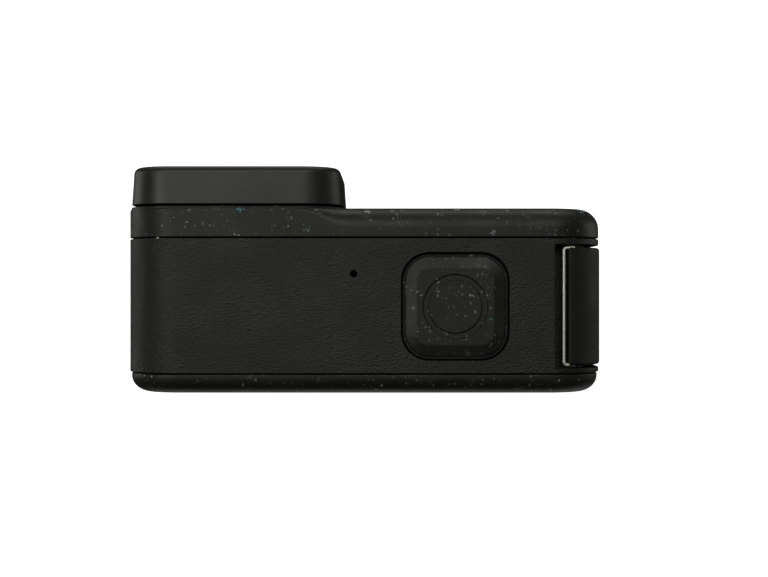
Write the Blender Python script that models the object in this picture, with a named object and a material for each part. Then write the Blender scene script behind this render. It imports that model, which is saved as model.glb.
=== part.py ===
"""A compact action camera, built as separate pieces in millimetres and stored in metres.

X runs across the front, Y from the front (negative) to the back, Z up. The origin is the middle of
the base. The lens is on the +X side and the battery door on the -X side.
"""

import bmesh
import bpy
from math import ceil, cos, dist, hypot, pi, radians, sin
from mathutils import Vector

MM = 0.001

# The whole camera.
BODY_HALF_WIDTH = 35.75
BODY_HEIGHT = 50.8
CORNER_RADIUS = 8.0
LENS_FACE = -16.95
FRONT_FACE = -10.7
FRONT_SEAM = -6.26
REAR_SEAM = 13.97
REAR_FACE = 16.95
FRONT_FILLET = 3.0
COVER_SIDE_FILLET = 0.4
FRONT_BLEND = 4.5
REAR_FILLET = 2.5
MIDDLE_Y = 3.85

# Walls and gaps.
SEAM_GAP = 0.3
GAP = 0.3
SLIDE_GAP = 0.15
HOUSING_WALL = 3.25
SHELL_WALL = 1.6
FLOOR_TOP = 5.8

# The lens and its removable square cover.
LENS_X = 19.26
LENS_Z = 34.0
COVER_HALF = 16.02
COVER_CORNER = 5.5
COVER_BACK = -11.25
COVER_DRAFT = 0.3
COVER_EDGE = 1.0
COVER_BORE = 12.7
COVER_GLASS_RADIUS = 12.9
PLINTH_FACE = -10.95
BAYONET_OUTER = 12.2
BAYONET_INNER = 10.7
BARREL_OUTER = 10.3
BARREL_INNER = 8.3

# The screens.
FRONT_GLASS = (-30.5, 0.5, 14.5, 44.5)
FRONT_GLASS_CORNER = 3.0
REAR_GLASS = (-29.4, 29.4, 6.6, 44.4)
REAR_GLASS_CORNER = 3.0

# The shutter button on the top and the mode button on the lens side.
SHUTTER_X = -13.55
SHUTTER_Y = 3.97
SHUTTER_WELL = 16.2
SHUTTER_CORNER = 4.3
SHUTTER_TRAVEL = 0.5
SHUTTER_FLOOR = 48.45
SHUTTER_RING = (3.9, 4.8)
SHUTTER_STEM = 1.8
MODE_Z = 31.0
MODE_Y = 4.2
MODE_HALF_HEIGHT = 5.6
MODE_HALF_WIDTH = 3.0
MODE_FACE = 35.9
MODE_FLOOR = 33.85
MODE_STEM = 1.3
TOP_MIC_X = 1.48
TOP_MIC_Y = -0.86
TOP_MIC_RADIUS = 0.53

# The battery door, its hinge wire and its latch.
DOOR_FRONT = -4.85
DOOR_BACK = 12.75
DOOR_MIDDLE = (DOOR_FRONT + DOOR_BACK) / 2
DOOR_TOP_X = -30.4
DOOR_LOW_Z = 5.0
DOOR_BULGE = 0.15
DOOR_THICKNESS = 1.3
RECESS_DEPTH = 2.3
RECESS_FRONT = -5.2
RECESS_BACK = 13.15
SLOT_X = -28.3
OPENING = (-4.4, 12.3, 6.0, 45.1)
HINGE_X = -29.75
HINGE_Z = 49.6
WIRE_RADIUS = 0.275
LATCH_HALF_WIDTH = 3.6
LATCH_TOP = 14.0
LATCH_TRAVEL = 1.3

# What is behind the door.
BATTERY = ((-30.4, 2.9), (-0.6, 11.9), (6.9, 44.9))
BAY_WALL = 0.5

# The folding mount fingers and the tripod thread in the base.
FINGER_AXIS_X = 3.0
FINGER_AXIS_Z = 1.95
FINGER_THICKNESS = 3.0
FINGER_HALF_WIDTH = 7.5
FINGER_HOLE_RADIUS = 2.6
FINGER_HOLE_REACH = 10.5
FINGER_PIN_RADIUS = 0.8
FINGER_RECESS_DEPTH = 4.2
TRIPOD_RADIUS = 3.175
TRIPOD_OUTER = 4.2
TRIPOD_LOW = 0.5
TRIPOD_TOP = 5.0

# Smoothness of arcs.
CORNER_STEPS = 6
FILLET_STEPS = 4
ROUND_STEPS = 32
SMALL_STEPS = 16

# Finish name: (colour, roughness, metallic).
FINISHES = {
    "speckled_plastic": ((0.022, 0.024, 0.024), 0.5, 0.0),
    "grained_plastic": ((0.018, 0.018, 0.014), 0.6, 0.0),
    "satin_plastic": ((0.016, 0.016, 0.017), 0.4, 0.0),
    "inner_plastic": ((0.03, 0.03, 0.032), 0.6, 0.0),
    "rubber": ((0.02, 0.02, 0.02), 0.8, 0.0),
    "seal": ((0.03, 0.03, 0.032), 0.75, 0.0),
    "screen_glass": ((0.01, 0.01, 0.012), 0.06, 0.0),
    "lens_glass": ((0.05, 0.07, 0.08), 0.03, 0.0),
    "steel": ((0.55, 0.55, 0.56), 0.25, 1.0),
    "aluminium": ((0.6, 0.6, 0.61), 0.35, 1.0),
    "brass": ((0.62, 0.46, 0.2), 0.3, 1.0),
    "board": ((0.01, 0.08, 0.03), 0.45, 0.0),
    "chip": ((0.02, 0.02, 0.022), 0.5, 0.0),
    "battery": ((0.05, 0.05, 0.055), 0.55, 0.0),
    "light": ((0.6, 0.62, 0.6), 0.3, 0.0),
}


# --- Helpers -------------------------------------------------------------------------------------


def place(u, v, depth, axis):
    """The point at (u, v) in the plane across the axis, at this depth along it."""
    return {"X": (depth, u, v), "Y": (u, depth, v), "Z": (u, v, depth)}[axis]


def rounded(left, right, low, high, radius, steps=CORNER_STEPS):
    """A rectangle's outline, anticlockwise from its upper right corner. radius may be one per corner."""
    radii = radius if isinstance(radius, tuple) else (radius,) * 4
    corners = ((right, high, -1, -1), (left, high, 1, -1), (left, low, 1, 1), (right, low, -1, 1))
    points = []
    for turn, ((u, v, inward_u, inward_v), corner) in enumerate(zip(corners, radii)):
        for step in range(steps + 1):
            angle = radians(90 * (turn + step / steps))
            points.append((u + corner * (inward_u + cos(angle)), v + corner * (inward_v + sin(angle))))
    return points


def with_side_points(outline, spacing):
    """The outline with points added so that no stretch of it is longer than spacing."""
    points = []
    for here, following in zip(outline, outline[1:] + outline[:1]):
        count = max(1, ceil(dist(here, following) / spacing))
        for step in range(count):
            share = step / count
            points.append(tuple(a + (b - a) * share for a, b in zip(here, following)))
    return points


def body_outline(inset, steps=CORNER_STEPS):
    """The camera's outline as the front shows it, moved in by inset."""
    half = BODY_HALF_WIDTH - inset
    return rounded(-half, half, inset, BODY_HEIGHT - inset, CORNER_RADIUS - inset, steps)


def arc(centre_u, centre_v, radius, start, end, steps):
    """Points on an arc, from one angle in degrees to the other."""
    angles = [radians(start + (end - start) * step / steps) for step in range(steps + 1)]
    return [(centre_u + radius * cos(a), centre_v + radius * sin(a)) for a in angles]


def loft(loops):
    """A closed mesh through loops of equally many points, with a flat cap on each end."""
    mesh = bmesh.new()
    rings = [[mesh.verts.new(point) for point in loop] for loop in loops]
    count = len(rings[0])
    for ring, following in zip(rings, rings[1:]):
        for here in range(count):
            there = (here + 1) % count
            mesh.faces.new((ring[here], ring[there], following[there], following[here]))
    mesh.faces.new(rings[0])
    mesh.faces.new(rings[-1])
    bmesh.ops.recalc_face_normals(mesh, faces=mesh.faces)
    return mesh


def prism(outline, axis, start, end):
    """The outline, extruded along the axis."""
    return loft([[place(u, v, depth, axis) for u, v in outline] for depth in (start, end)])


def stacked(outline_at, sections, axis):
    """Outlines at (depth, inset) sections, joined in order."""
    return loft([[place(u, v, depth, axis) for u, v in outline_at(inset)] for depth, inset in sections])


def block(x_range, y_range, z_range, edge=0.0):
    """A box, with its edges bevelled where edge is over 0."""
    mesh = prism(((x_range[0], z_range[0]), (x_range[1], z_range[0]), (x_range[1], z_range[1]),
                  (x_range[0], z_range[1])), "Y", *y_range)
    if edge:
        bmesh.ops.bevel(mesh, geom=mesh.edges[:], offset=edge, segments=2, profile=0.5,
                        affect="EDGES", clamp_overlap=True)
    return mesh


def turned(profile, centre, axis, steps=ROUND_STEPS):
    """A closed profile of (radius, depth) points, spun round the axis through centre."""
    mesh = bmesh.new()
    first = {"X": (0, 1, 0), "Y": (1, 0, 0), "Z": (1, 0, 0)}[axis]
    along = {"X": (1, 0, 0), "Y": (0, 1, 0), "Z": (0, 0, 1)}[axis]
    base = Vector(centre)
    ring = [mesh.verts.new(base + Vector(first) * r + Vector(along) * d) for r, d in profile]
    edges = [mesh.edges.new((ring[i - 1], ring[i])) for i in range(len(ring))]
    bmesh.ops.spin(mesh, geom=ring + edges, cent=base, axis=Vector(along), dvec=(0, 0, 0),
                   angle=2 * pi, steps=steps, use_merge=True)
    bmesh.ops.remove_doubles(mesh, verts=mesh.verts, dist=1e-4)
    bmesh.ops.dissolve_degenerate(mesh, edges=mesh.edges, dist=1e-5)
    bmesh.ops.recalc_face_normals(mesh, faces=mesh.faces)
    return mesh


def ring_profile(inner, outer, start, end):
    """The profile of a plain ring, or of a disc where inner is 0."""
    return ((inner, start), (outer, start), (outer, end), (inner, end))


def disc(radius, centre_uv, axis, start, end, steps=SMALL_STEPS):
    """A round bar along the axis."""
    circle = [(centre_uv[0] + radius * cos(2 * pi * i / steps),
               centre_uv[1] + radius * sin(2 * pi * i / steps)) for i in range(steps)]
    return prism(circle, axis, start, end)


def fillet(depth_from, depth_to, radius, steps=FILLET_STEPS):
    """(depth, inset) sections that round the edge next to the face at depth_to."""
    direction = 1 if depth_to > depth_from else -1
    sections = []
    for step in range(steps + 1):
        angle = radians(90 * step / steps)
        sections.append((depth_to - direction * radius * (1 - sin(angle)), radius * (1 - cos(angle))))
    return [(depth_from, 0.0)] + sections


def finish_of(name, finish):
    """A Principled BSDF material for one piece."""
    colour, roughness, metallic = FINISHES[finish]
    material = bpy.data.materials.new(name + "_" + finish)
    material.use_nodes = True
    shader = material.node_tree.nodes["Principled BSDF"]
    shader.inputs["Base Color"].default_value = (*colour, 1.0)
    shader.inputs["Roughness"].default_value = roughness
    shader.inputs["Metallic"].default_value = metallic
    material.diffuse_color = (*colour, 1.0)
    return material


def stored(name, mesh, pivot=(0, 0, 0)):
    """The mesh as an object in metres, with its origin at the pivot."""
    pivot = Vector(pivot)
    for vert in mesh.verts:
        vert.co = (vert.co - pivot) * MM
    data = bpy.data.meshes.new(name)
    mesh.to_mesh(data)
    mesh.free()
    piece = bpy.data.objects.new(name, data)
    piece.location = pivot * MM
    bpy.context.collection.objects.link(piece)
    return piece


def add(name, mesh, finish, pivot=(0, 0, 0)):
    """One named piece of the camera."""
    piece = stored(name, mesh, pivot)
    piece.data.materials.append(finish_of(name, finish))
    piece.data.shade_smooth()
    piece.data.set_sharp_from_angle(angle=radians(35))
    return piece


def combine(piece, mesh, operation):
    """A Boolean of the piece with a hidden helper mesh."""
    helper = stored(f"{piece.name}_{operation.lower()}_{len(piece.modifiers)}", mesh)
    helper.hide_render = True
    helper.display_type = "WIRE"
    modifier = piece.modifiers.new(helper.name, "BOOLEAN")
    modifier.operation = operation
    modifier.solver = "EXACT"
    modifier.object = helper


def cut(piece, *meshes):
    for mesh in meshes:
        combine(piece, mesh, "DIFFERENCE")


def join(piece, *meshes):
    for mesh in meshes:
        combine(piece, mesh, "UNION")


# --- Shells --------------------------------------------------------------------------------------


def corner_screw_places():
    """The (x, z) of the four screws, inside the rounded corners of the housing."""
    reach = BODY_HALF_WIDTH - CORNER_RADIUS + 4.5 * cos(radians(45))
    low = CORNER_RADIUS - 4.5 * cos(radians(45))
    return [(side * reach, z) for side in (-1, 1) for z in (low, BODY_HEIGHT - low)]


def grown(box, by):
    """The (left, right, low, high) box, larger by this much on every side."""
    return (box[0] - by, box[1] + by, box[2] - by, box[3] + by)


def lens_square(half, corner):
    return rounded(LENS_X - half, LENS_X + half, LENS_Z - half, LENS_Z + half, corner)


def smooth_step(value):
    value = min(1.0, max(0.0, value))
    return value * value * (3 - 2 * value)


def front_edge_radius(x, z):
    """The front edge is hardly rounded beside the lens cover, and fully rounded elsewhere."""
    from_left = LENS_X - COVER_HALF - FRONT_BLEND / 3
    from_low = LENS_Z - COVER_HALF - FRONT_BLEND * 2 / 3
    beside = smooth_step((x - from_left) / FRONT_BLEND) * smooth_step((z - from_low) / FRONT_BLEND)
    return FRONT_FILLET + (COVER_SIDE_FILLET - FRONT_FILLET) * beside


def front_skin(seam):
    """The front shell's outer form, whose edge radius varies round its outline."""
    outer = with_side_points(body_outline(0), FRONT_BLEND / 2)
    inner = [nearest_inward(point) for point in outer]
    loops = [[place(x, z, seam, "Y") for x, z in outer]]
    for step in range(FILLET_STEPS + 1):
        angle = radians(90 * step / FILLET_STEPS)
        loop = []
        for (x0, z0), (x1, z1) in zip(outer, inner):
            radius = front_edge_radius(x0, z0)
            share = radius * (1 - cos(angle))
            depth = FRONT_FACE + radius * (1 - sin(angle))
            loop.append(place(x0 + (x1 - x0) * share, z0 + (z1 - z0) * share, depth, "Y"))
        loops.append(loop)
    return loft(loops)


def nearest_inward(point):
    """The point 1 mm in from a point on the body's outline, square to it."""
    x, z = point
    straight_x = BODY_HALF_WIDTH - CORNER_RADIUS
    centre_x = min(straight_x, max(-straight_x, x))
    centre_z = min(BODY_HEIGHT - CORNER_RADIUS, max(CORNER_RADIUS, z))
    away = hypot(x - centre_x, z - centre_z)
    return (x + (centre_x - x) / away, z + (centre_z - z) / away)


def make_front_shell():
    seam = FRONT_SEAM - SEAM_GAP / 2
    shell = add("front_shell", front_skin(seam), "speckled_plastic")
    join(shell, prism(lens_square(COVER_HALF + 0.12, COVER_CORNER), "Y", FRONT_FACE + 0.9, PLINTH_FACE))
    cut(
        shell,
        prism(body_outline(SHELL_WALL), "Y", seam + 1, FRONT_FACE + 1.5),
        prism(rounded(*grown(FRONT_GLASS, GAP), FRONT_GLASS_CORNER + GAP), "Y", -12, -9.75),
        prism(rounded(*grown(FRONT_GLASS, -2), 1.5), "Y", -11, -8),
        disc(BAYONET_OUTER + GAP, (LENS_X, LENS_Z), "Y", -12, -5, ROUND_STEPS),
        disc(0.9, (3.2, 10.0), "Y", -12, -8),
        disc(0.6, (LENS_X, 10.0), "Y", -12, -8),
    )


def make_front_insides():
    add("front_screen_glass", prism(rounded(*FRONT_GLASS, FRONT_GLASS_CORNER), "Y", -10.6, -10.05),
        "screen_glass")
    left, right, low, high = grown(FRONT_GLASS, -2.3)
    add("front_display", block((left, right), (-8.9, -7.7), (low, high)), "inner_plastic")
    add("front_status_light", disc(0.6, (3.2, 10.0), "Y", -10.6, -8.4), "light")
    add("front_microphone", block((LENS_X - 1.9, LENS_X + 1.9), (-8.9, -7.8), (8.6, 11.4)), "aluminium")
    chassis = add("front_chassis", prism(body_outline(SHELL_WALL + GAP), "Y", -7.3, -6.45), "aluminium")
    cut(chassis, disc(BAYONET_OUTER + GAP, (LENS_X, LENS_Z), "Y", -9, -5, ROUND_STEPS))
    for x, z in corner_screw_places():
        cut(chassis, disc(1.0, (x, z), "Y", -9, -5))
    profile = ((0, -8.3), (1.35, -8.3), (1.35, -7.6), (0.7, -7.6), (0.7, -2.6), (0, -2.6))
    for number, (x, z) in enumerate(corner_screw_places(), 1):
        add(f"chassis_screw_{number}", turned(profile, (x, 0, z), "Y", SMALL_STEPS), "steel")


def door_recess():
    """The section of the recess that holds the door and, along its top edge, the hinge wire."""
    corner_x = -BODY_HALF_WIDTH + CORNER_RADIUS
    corner_z = BODY_HEIGHT - CORNER_RADIUS
    floor = arc(corner_x, corner_z, CORNER_RADIUS - RECESS_DEPTH, 90, 180, CORNER_STEPS)
    top = BODY_HEIGHT + 1
    side = -BODY_HALF_WIDTH - 1
    low = DOOR_LOW_Z - 0.6
    return [(SLOT_X, top), (SLOT_X, BODY_HEIGHT - RECESS_DEPTH), *floor,
            (-BODY_HALF_WIDTH + RECESS_DEPTH, low), (side, low), (side, top)]


def shutter_outline(inset):
    half = SHUTTER_WELL / 2 - inset
    return rounded(SHUTTER_X - half, SHUTTER_X + half, SHUTTER_Y - half, SHUTTER_Y + half,
                   SHUTTER_CORNER - inset)


def mode_outline(inset):
    wide = MODE_HALF_WIDTH - inset
    tall = MODE_HALF_HEIGHT - inset
    return rounded(MODE_Y - wide, MODE_Y + wide, MODE_Z - tall, MODE_Z + tall, wide - 0.1)


def make_main_housing():
    front = FRONT_SEAM + SEAM_GAP / 2
    back = REAR_SEAM - SEAM_GAP / 2
    notch = 0.15
    sections = ((front, notch), (front + notch, 0), (back - notch, 0), (back, notch))
    housing = add("main_housing", stacked(body_outline, sections, "Y"), "grained_plastic")
    inner = BODY_HALF_WIDTH - HOUSING_WALL
    ceiling = BODY_HEIGHT - HOUSING_WALL
    corner = CORNER_RADIUS - HOUSING_WALL
    boss_depth = -1.9
    opening_y = OPENING[:2]
    opening_z = OPENING[2:]
    cut(
        housing,
        prism(rounded(-inner, inner, FLOOR_TOP, ceiling, (corner, corner, 2.5, 2.5)), "Y",
              boss_depth, back + 1),
        prism(rounded(-inner, inner, FLOOR_TOP, ceiling, (9, 9, 2.5, 2.5)), "Y",
              front - 1, boss_depth + 0.1),
        prism(door_recess(), "Y", RECESS_FRONT, RECESS_BACK),
        block((-37, -30.5), opening_y, opening_z),
        prism(shutter_outline(0), "Z", SHUTTER_FLOOR, BODY_HEIGHT + 1),
        disc(SHUTTER_STEM + 0.5, (SHUTTER_X, SHUTTER_Y), "Z", 47, SHUTTER_FLOOR + 0.5),
        disc(TOP_MIC_RADIUS, (TOP_MIC_X, TOP_MIC_Y), "Z", 47, BODY_HEIGHT + 1),
        prism(mode_outline(-GAP), "X", MODE_FLOOR, BODY_HALF_WIDTH + 1),
        disc(MODE_STEM + 0.4, (MODE_Y, MODE_Z), "X", inner - 1, MODE_FLOOR + 0.5),
    )
    for z in (10, 12, 14):
        cut(housing, block((inner - 1, BODY_HALF_WIDTH + 1), (1.2, 6.8), (z - 0.4, z + 0.4)))
    half = FINGER_HALF_WIDTH + 0.5
    end = FINGER_AXIS_X + FINGER_HOLE_REACH + FINGER_HALF_WIDTH + 0.6
    cut(
        housing,
        prism(rounded(-end, end, MIDDLE_Y - half, MIDDLE_Y + half, half - 0.1), "Z",
              -1, FINGER_RECESS_DEPTH),
        disc(TRIPOD_OUTER + GAP, (0, MIDDLE_Y), "Z", 3, TRIPOD_TOP + 0.2, ROUND_STEPS),
    )
    for side in (-1, 1):
        cut(housing, disc(FINGER_PIN_RADIUS + 0.1, (side * FINGER_AXIS_X, FINGER_AXIS_Z), "Y", -7, 13.3))
    for x, z in corner_screw_places():
        cut(housing, disc(1.0, (x, z), "Y", front - 1, -2.2))


def make_rear():
    seam = REAR_SEAM + SEAM_GAP / 2
    notch = 0.15
    sections = [(seam, notch)] + fillet(seam + notch, REAR_FACE, REAR_FILLET)
    shell = add("rear_shell", stacked(body_outline, sections, "Y"), "speckled_plastic")
    light = (26.5, 46.5)
    cut(
        shell,
        prism(rounded(*grown(REAR_GLASS, GAP), REAR_GLASS_CORNER + GAP), "Y", 13, 18),
        disc(0.9, light, "Y", 13, 18),
    )
    add("rear_status_light", disc(0.6, light, "Y", 14.4, REAR_FACE - 0.1), "light")
    add("rear_screen_glass", prism(rounded(*REAR_GLASS, REAR_GLASS_CORNER), "Y", 16.0, 16.8),
        "screen_glass")
    add("rear_display", prism(rounded(*grown(REAR_GLASS, -0.8), 2), "Y", 14.5, 15.7), "inner_plastic")
    frame = add("display_frame", prism(rounded(-31.8, 31.8, 6.5, 46.8, 4.5), "Y", 13.0, 13.7),
                "aluminium")
    cut(frame, block((10, 26), (12, 15), (18, 34)))


# --- Lens ----------------------------------------------------------------------------------------


def lens_profile(radius, front, sag, back):
    """A lens with a domed front: sag is how far its rim lies behind its centre."""
    steps = 5
    dome = [(radius * step / steps, front + sag * (step / steps) ** 2) for step in range(steps + 1)]
    return dome + [(radius, back), (0, back)]


def make_lens():
    centre = (LENS_X, 0, LENS_Z)
    add("lens_bayonet_ring", turned(ring_profile(BAYONET_INNER, BAYONET_OUTER, -13.6, -8.2), centre, "Y"),
        "inner_plastic")
    lip = 1.1
    barrel = ((BARREL_INNER - lip, -14.6), (BARREL_OUTER, -14.6), (BARREL_OUTER, -0.5),
              (BARREL_INNER, -0.5), (BARREL_INNER, -13.9), (BARREL_INNER - lip, -13.9))
    add("lens_barrel", turned(barrel, centre, "Y"), "inner_plastic")
    radius = BARREL_INNER - GAP
    elements = (("lens_element_front", -13.5, 1.2, -10.8), ("lens_element_middle", -9.4, 0.6, -7.2),
                ("lens_element_rear", -5.0, 0.9, -3.0))
    for name, front, sag, back in elements:
        add(name, turned(lens_profile(radius, front, sag, back), centre, "Y"), "lens_glass")
    add("image_sensor", block((LENS_X - 4.2, LENS_X + 4.2), (-0.2, 0.8), (LENS_Z - 3.2, LENS_Z + 3.2)),
        "chip")
    add("sensor_board", block((LENS_X - 9.8, LENS_X + 9.8), (1.2, 2.2), (LENS_Z - 9.8, LENS_Z + 9.8)),
        "board")


def make_lens_cover():
    pivot = (LENS_X, COVER_BACK, LENS_Z)

    def outline(inset):
        return lens_square(COVER_HALF - inset, COVER_CORNER - inset)

    rounding = fillet(COVER_BACK, LENS_FACE, COVER_EDGE)[1:]
    sections = [(COVER_BACK, 0)] + [(depth, inset + COVER_DRAFT) for depth, inset in rounding]
    frame = add("lens_cover_frame", stacked(outline, sections, "Y"), "satin_plastic", pivot)
    ledge = -15.4
    centre = (LENS_X, LENS_Z)
    cut(
        frame,
        disc(COVER_BORE, centre, "Y", COVER_BACK + 1, ledge - 0.2, ROUND_STEPS),
        disc(COVER_GLASS_RADIUS + GAP, centre, "Y", ledge, LENS_FACE - 1, ROUND_STEPS),
        turned(ring_profile(13.4, 15.0, COVER_BACK - 0.9, COVER_BACK + 1), (LENS_X, 0, LENS_Z), "Y"),
    )
    glass = ring_profile(0, COVER_GLASS_RADIUS, -16.6, -15.75)
    add("lens_cover_glass", turned(glass, (LENS_X, 0, LENS_Z), "Y"), "lens_glass", pivot)
    seal = ring_profile(13.65, 14.75, COVER_BACK - 0.6, COVER_BACK - 0.05)
    add("lens_cover_seal", turned(seal, (LENS_X, 0, LENS_Z), "Y"), "rubber", pivot)


# --- Buttons -------------------------------------------------------------------------------------


def make_shutter():
    def outline(inset):
        return shutter_outline(inset + GAP)

    top = BODY_HEIGHT - 0.05
    button = add("shutter_button", stacked(outline, fillet(49.1, top, 0.9), "Z"), "speckled_plastic",
                 (SHUTTER_X, SHUTTER_Y, 49.1))
    join(button, disc(SHUTTER_STEM, (SHUTTER_X, SHUTTER_Y), "Z", 46.95, 49.5))
    centre = (SHUTTER_X, SHUTTER_Y, 0)
    cut(button, turned(ring_profile(*SHUTTER_RING, top - 0.4, top + 1), centre, "Z"))
    add("shutter_seal", turned(ring_profile(2.3, 4.0, 46.9, 47.25), centre, "Z", SMALL_STEPS), "seal")
    add("shutter_switch", block((SHUTTER_X - 3, SHUTTER_X + 3), (SHUTTER_Y - 3, SHUTTER_Y + 3),
                                (46.0, 46.35)), "steel")


def make_mode():
    button = add("mode_button", stacked(mode_outline, fillet(MODE_FACE - 1.55, MODE_FACE, 0.5, 3), "X"),
                 "rubber", (MODE_FACE, MODE_Y, MODE_Z))
    join(button, disc(MODE_STEM, (MODE_Y, MODE_Z), "X", 31.7, MODE_FACE - 1))
    add("mode_seal", turned(ring_profile(1.6, 2.8, 31.75, 32.2), (0, MODE_Y, MODE_Z), "X", SMALL_STEPS),
        "seal")
    add("mode_switch", block((30.6, 31.2), (MODE_Y - 2.5, MODE_Y + 2.5), (MODE_Z - 2.5, MODE_Z + 2.5)),
        "steel")


# --- Battery door --------------------------------------------------------------------------------


def tube(name, points, radius, finish, pivot, bevel_resolution):
    """A wire of this radius along the points, with closed ends."""
    pivot = Vector(pivot)
    curve = bpy.data.curves.new(name, "CURVE")
    curve.dimensions = "3D"
    curve.bevel_depth = radius * MM
    curve.bevel_resolution = bevel_resolution
    curve.use_fill_caps = True
    spline = curve.splines.new("POLY")
    spline.points.add(len(points) - 1)
    for target, point in zip(spline.points, points):
        target.co = (*((Vector(point) - pivot) * MM), 1.0)
    curve.materials.append(finish_of(name, finish))
    wire = bpy.data.objects.new(name, curve)
    wire.location = pivot * MM
    bpy.context.collection.objects.link(wire)


def door_section():
    """The door panel's section: it wraps the camera's upper corner and runs down the side."""
    corner_x = -BODY_HALF_WIDTH + CORNER_RADIUS
    corner_z = BODY_HEIGHT - CORNER_RADIUS
    outer = CORNER_RADIUS + DOOR_BULGE
    inner = CORNER_RADIUS - DOOR_THICKNESS
    reach = corner_x - DOOR_TOP_X
    from_outer = 180 - arc_angle(reach, outer)
    from_inner = 180 - arc_angle(reach, inner)
    low = [(corner_x - outer, DOOR_LOW_Z), (corner_x - inner, DOOR_LOW_Z)]
    return (arc(corner_x, corner_z, outer, from_outer, 180, CORNER_STEPS) + low
            + arc(corner_x, corner_z, inner, 180, from_inner, CORNER_STEPS))


def arc_angle(reach, radius):
    """The angle in degrees at which a point on the circle lies this far to the side of its centre."""
    low, high = 0.0, 90.0
    while high - low > 1e-6:
        middle = (low + high) / 2
        if radius * cos(radians(middle)) > reach:
            low = middle
        else:
            high = middle
    return low


def make_door():
    pivot = (HINGE_X, DOOR_MIDDLE, HINGE_Z)
    panel = add("door_panel", prism(door_section(), "Y", DOOR_FRONT, DOOR_BACK), "rubber", pivot)
    notch_x = (-31.8, -30.2)
    notch_z = (HINGE_Z - 0.6, HINGE_Z + 0.6)
    half_window = LATCH_HALF_WIDTH + GAP
    cut(
        panel,
        block((-37, -34), (DOOR_MIDDLE - half_window, DOOR_MIDDLE + half_window),
              (4, LATCH_TOP + LATCH_TRAVEL + GAP)),
        block(notch_x, (DOOR_FRONT - 1, DOOR_FRONT + 0.65), notch_z),
        block(notch_x, (DOOR_BACK - 0.65, DOOR_BACK + 1), notch_z),
    )
    bend = 0.45
    front = DOOR_FRONT + 0.1
    back = DOOR_BACK - 0.1
    corner = HINGE_X - bend
    path = ([(-31.3, front)] + arc(corner, front + bend, bend, 270, 360, 4)
            + arc(corner, back - bend, bend, 0, 90, 4) + [(-31.3, back)])
    tube("door_hinge_wire", [(x, y, HINGE_Z) for x, y in path], WIRE_RADIUS, "steel", pivot, 3)

    plug = add("door_plug", block((-34.15, -31.6), (-3.3, 11.1), (7.2, 42.4)), "inner_plastic", pivot)
    cut(
        plug,
        block((-35, -33.4), (DOOR_MIDDLE - 5.1, DOOR_MIDDLE + 5.1), (4, 18.5)),
        block((-35, -31.95), (DOOR_MIDDLE - 1.5, DOOR_MIDDLE + 1.5), (13.4, 20.6)),
    )
    gasket = add("door_gasket", prism(rounded(-4.15, 12.05, 6.25, 43.3, 1.2), "X", -33.3, -32.7), "seal",
                 pivot)
    cut(gasket, prism(rounded(-3.55, 11.35, 6.95, 42.65, 0.6), "X", -34, -32))


def make_latch():
    pivot = (-35.6, DOOR_MIDDLE, LATCH_TOP)
    low = DOOR_LOW_Z + 0.4
    latch = add("door_latch", block((-35.6, -33.95), (DOOR_MIDDLE - LATCH_HALF_WIDTH,
                                                      DOOR_MIDDLE + LATCH_HALF_WIDTH),
                                    (low, LATCH_TOP)), "satin_plastic", pivot)
    join(
        latch,
        block((-34.15, -33.75), (DOOR_MIDDLE - 4.6, DOOR_MIDDLE + 4.6), (low + 0.6, LATCH_TOP + 0.4)),
        block((-34.1, -32.3), (DOOR_MIDDLE - 1.2, DOOR_MIDDLE + 1.2), (LATCH_TOP - 0.1, LATCH_TOP + 0.3)),
    )
    turns = 5
    per_turn = 12
    radius = 0.85
    low, high = 14.7, 20.2
    count = turns * per_turn
    coil = [(-33.15 + radius * cos(2 * pi * i / per_turn), DOOR_MIDDLE + radius * sin(2 * pi * i / per_turn),
             low + (high - low) * i / count) for i in range(count + 1)]
    tube("latch_spring", coil, 0.17, "steel", pivot, 1)


# --- Insides -------------------------------------------------------------------------------------


def make_insides():
    (battery_left, battery_right), (battery_front, battery_back), (battery_low, battery_high) = BATTERY
    add("battery", block(*BATTERY, edge=0.8), "battery")
    outer = BAY_WALL + GAP
    bay = add("battery_bay", block((-31.2, battery_right + 2.5),
                                   (battery_front - outer, battery_back + outer),
                                   (battery_low - outer, battery_high + outer)), "inner_plastic")
    cut(bay, block((-33, battery_right + 2.0), (battery_front - GAP, battery_back + GAP),
                   (battery_low - GAP, battery_high + GAP)))
    add("battery_contacts", block((3.3, 4.5), (2, 9), (12, 18)), "brass")
    add("main_board", block((-29.5, 8.0), (-6.0, -5.3), (7.5, 44.5)), "board")
    add("processor", block((-14, -4), (-5.0, -4.0), (20, 30)), "chip")
    slot = add("card_slot", block((-31.4, -15.5), (-4.1, -1.8), (27, 40)), "steel")
    cut(slot, block((-33, -16.1), (-3.6, -2.3), (27.9, 39.1)))
    add("memory_card", block((-31.2, -16.4), (-3.3, -2.6), (28.2, 38.8)), "chip")
    port = add("usb_port", prism(rounded(-4.75, -1.65, 10, 19, 1.5), "X", -31.4, -24.4), "steel")
    cut(port, prism(rounded(-4.45, -1.95, 10.3, 18.7, 1.2), "X", -33, -25.2))
    join(port, block((-30.9, -25.0), (-3.55, -2.85), (11.2, 17.8)))
    add("speaker", block((28.6, 32.0), (0, 8.2), (7.5, 17.5), edge=0.4), "inner_plastic")
    add("top_microphone", block((TOP_MIC_X - 1.8, TOP_MIC_X + 1.8), (TOP_MIC_Y - 1.3, TOP_MIC_Y + 1.3),
                                (46.0, 46.9)), "aluminium")
    add("microphone_mesh", disc(1.3, (TOP_MIC_X, TOP_MIC_Y), "Z", 47.1, 47.3), "steel")


# --- Base ----------------------------------------------------------------------------------------


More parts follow.
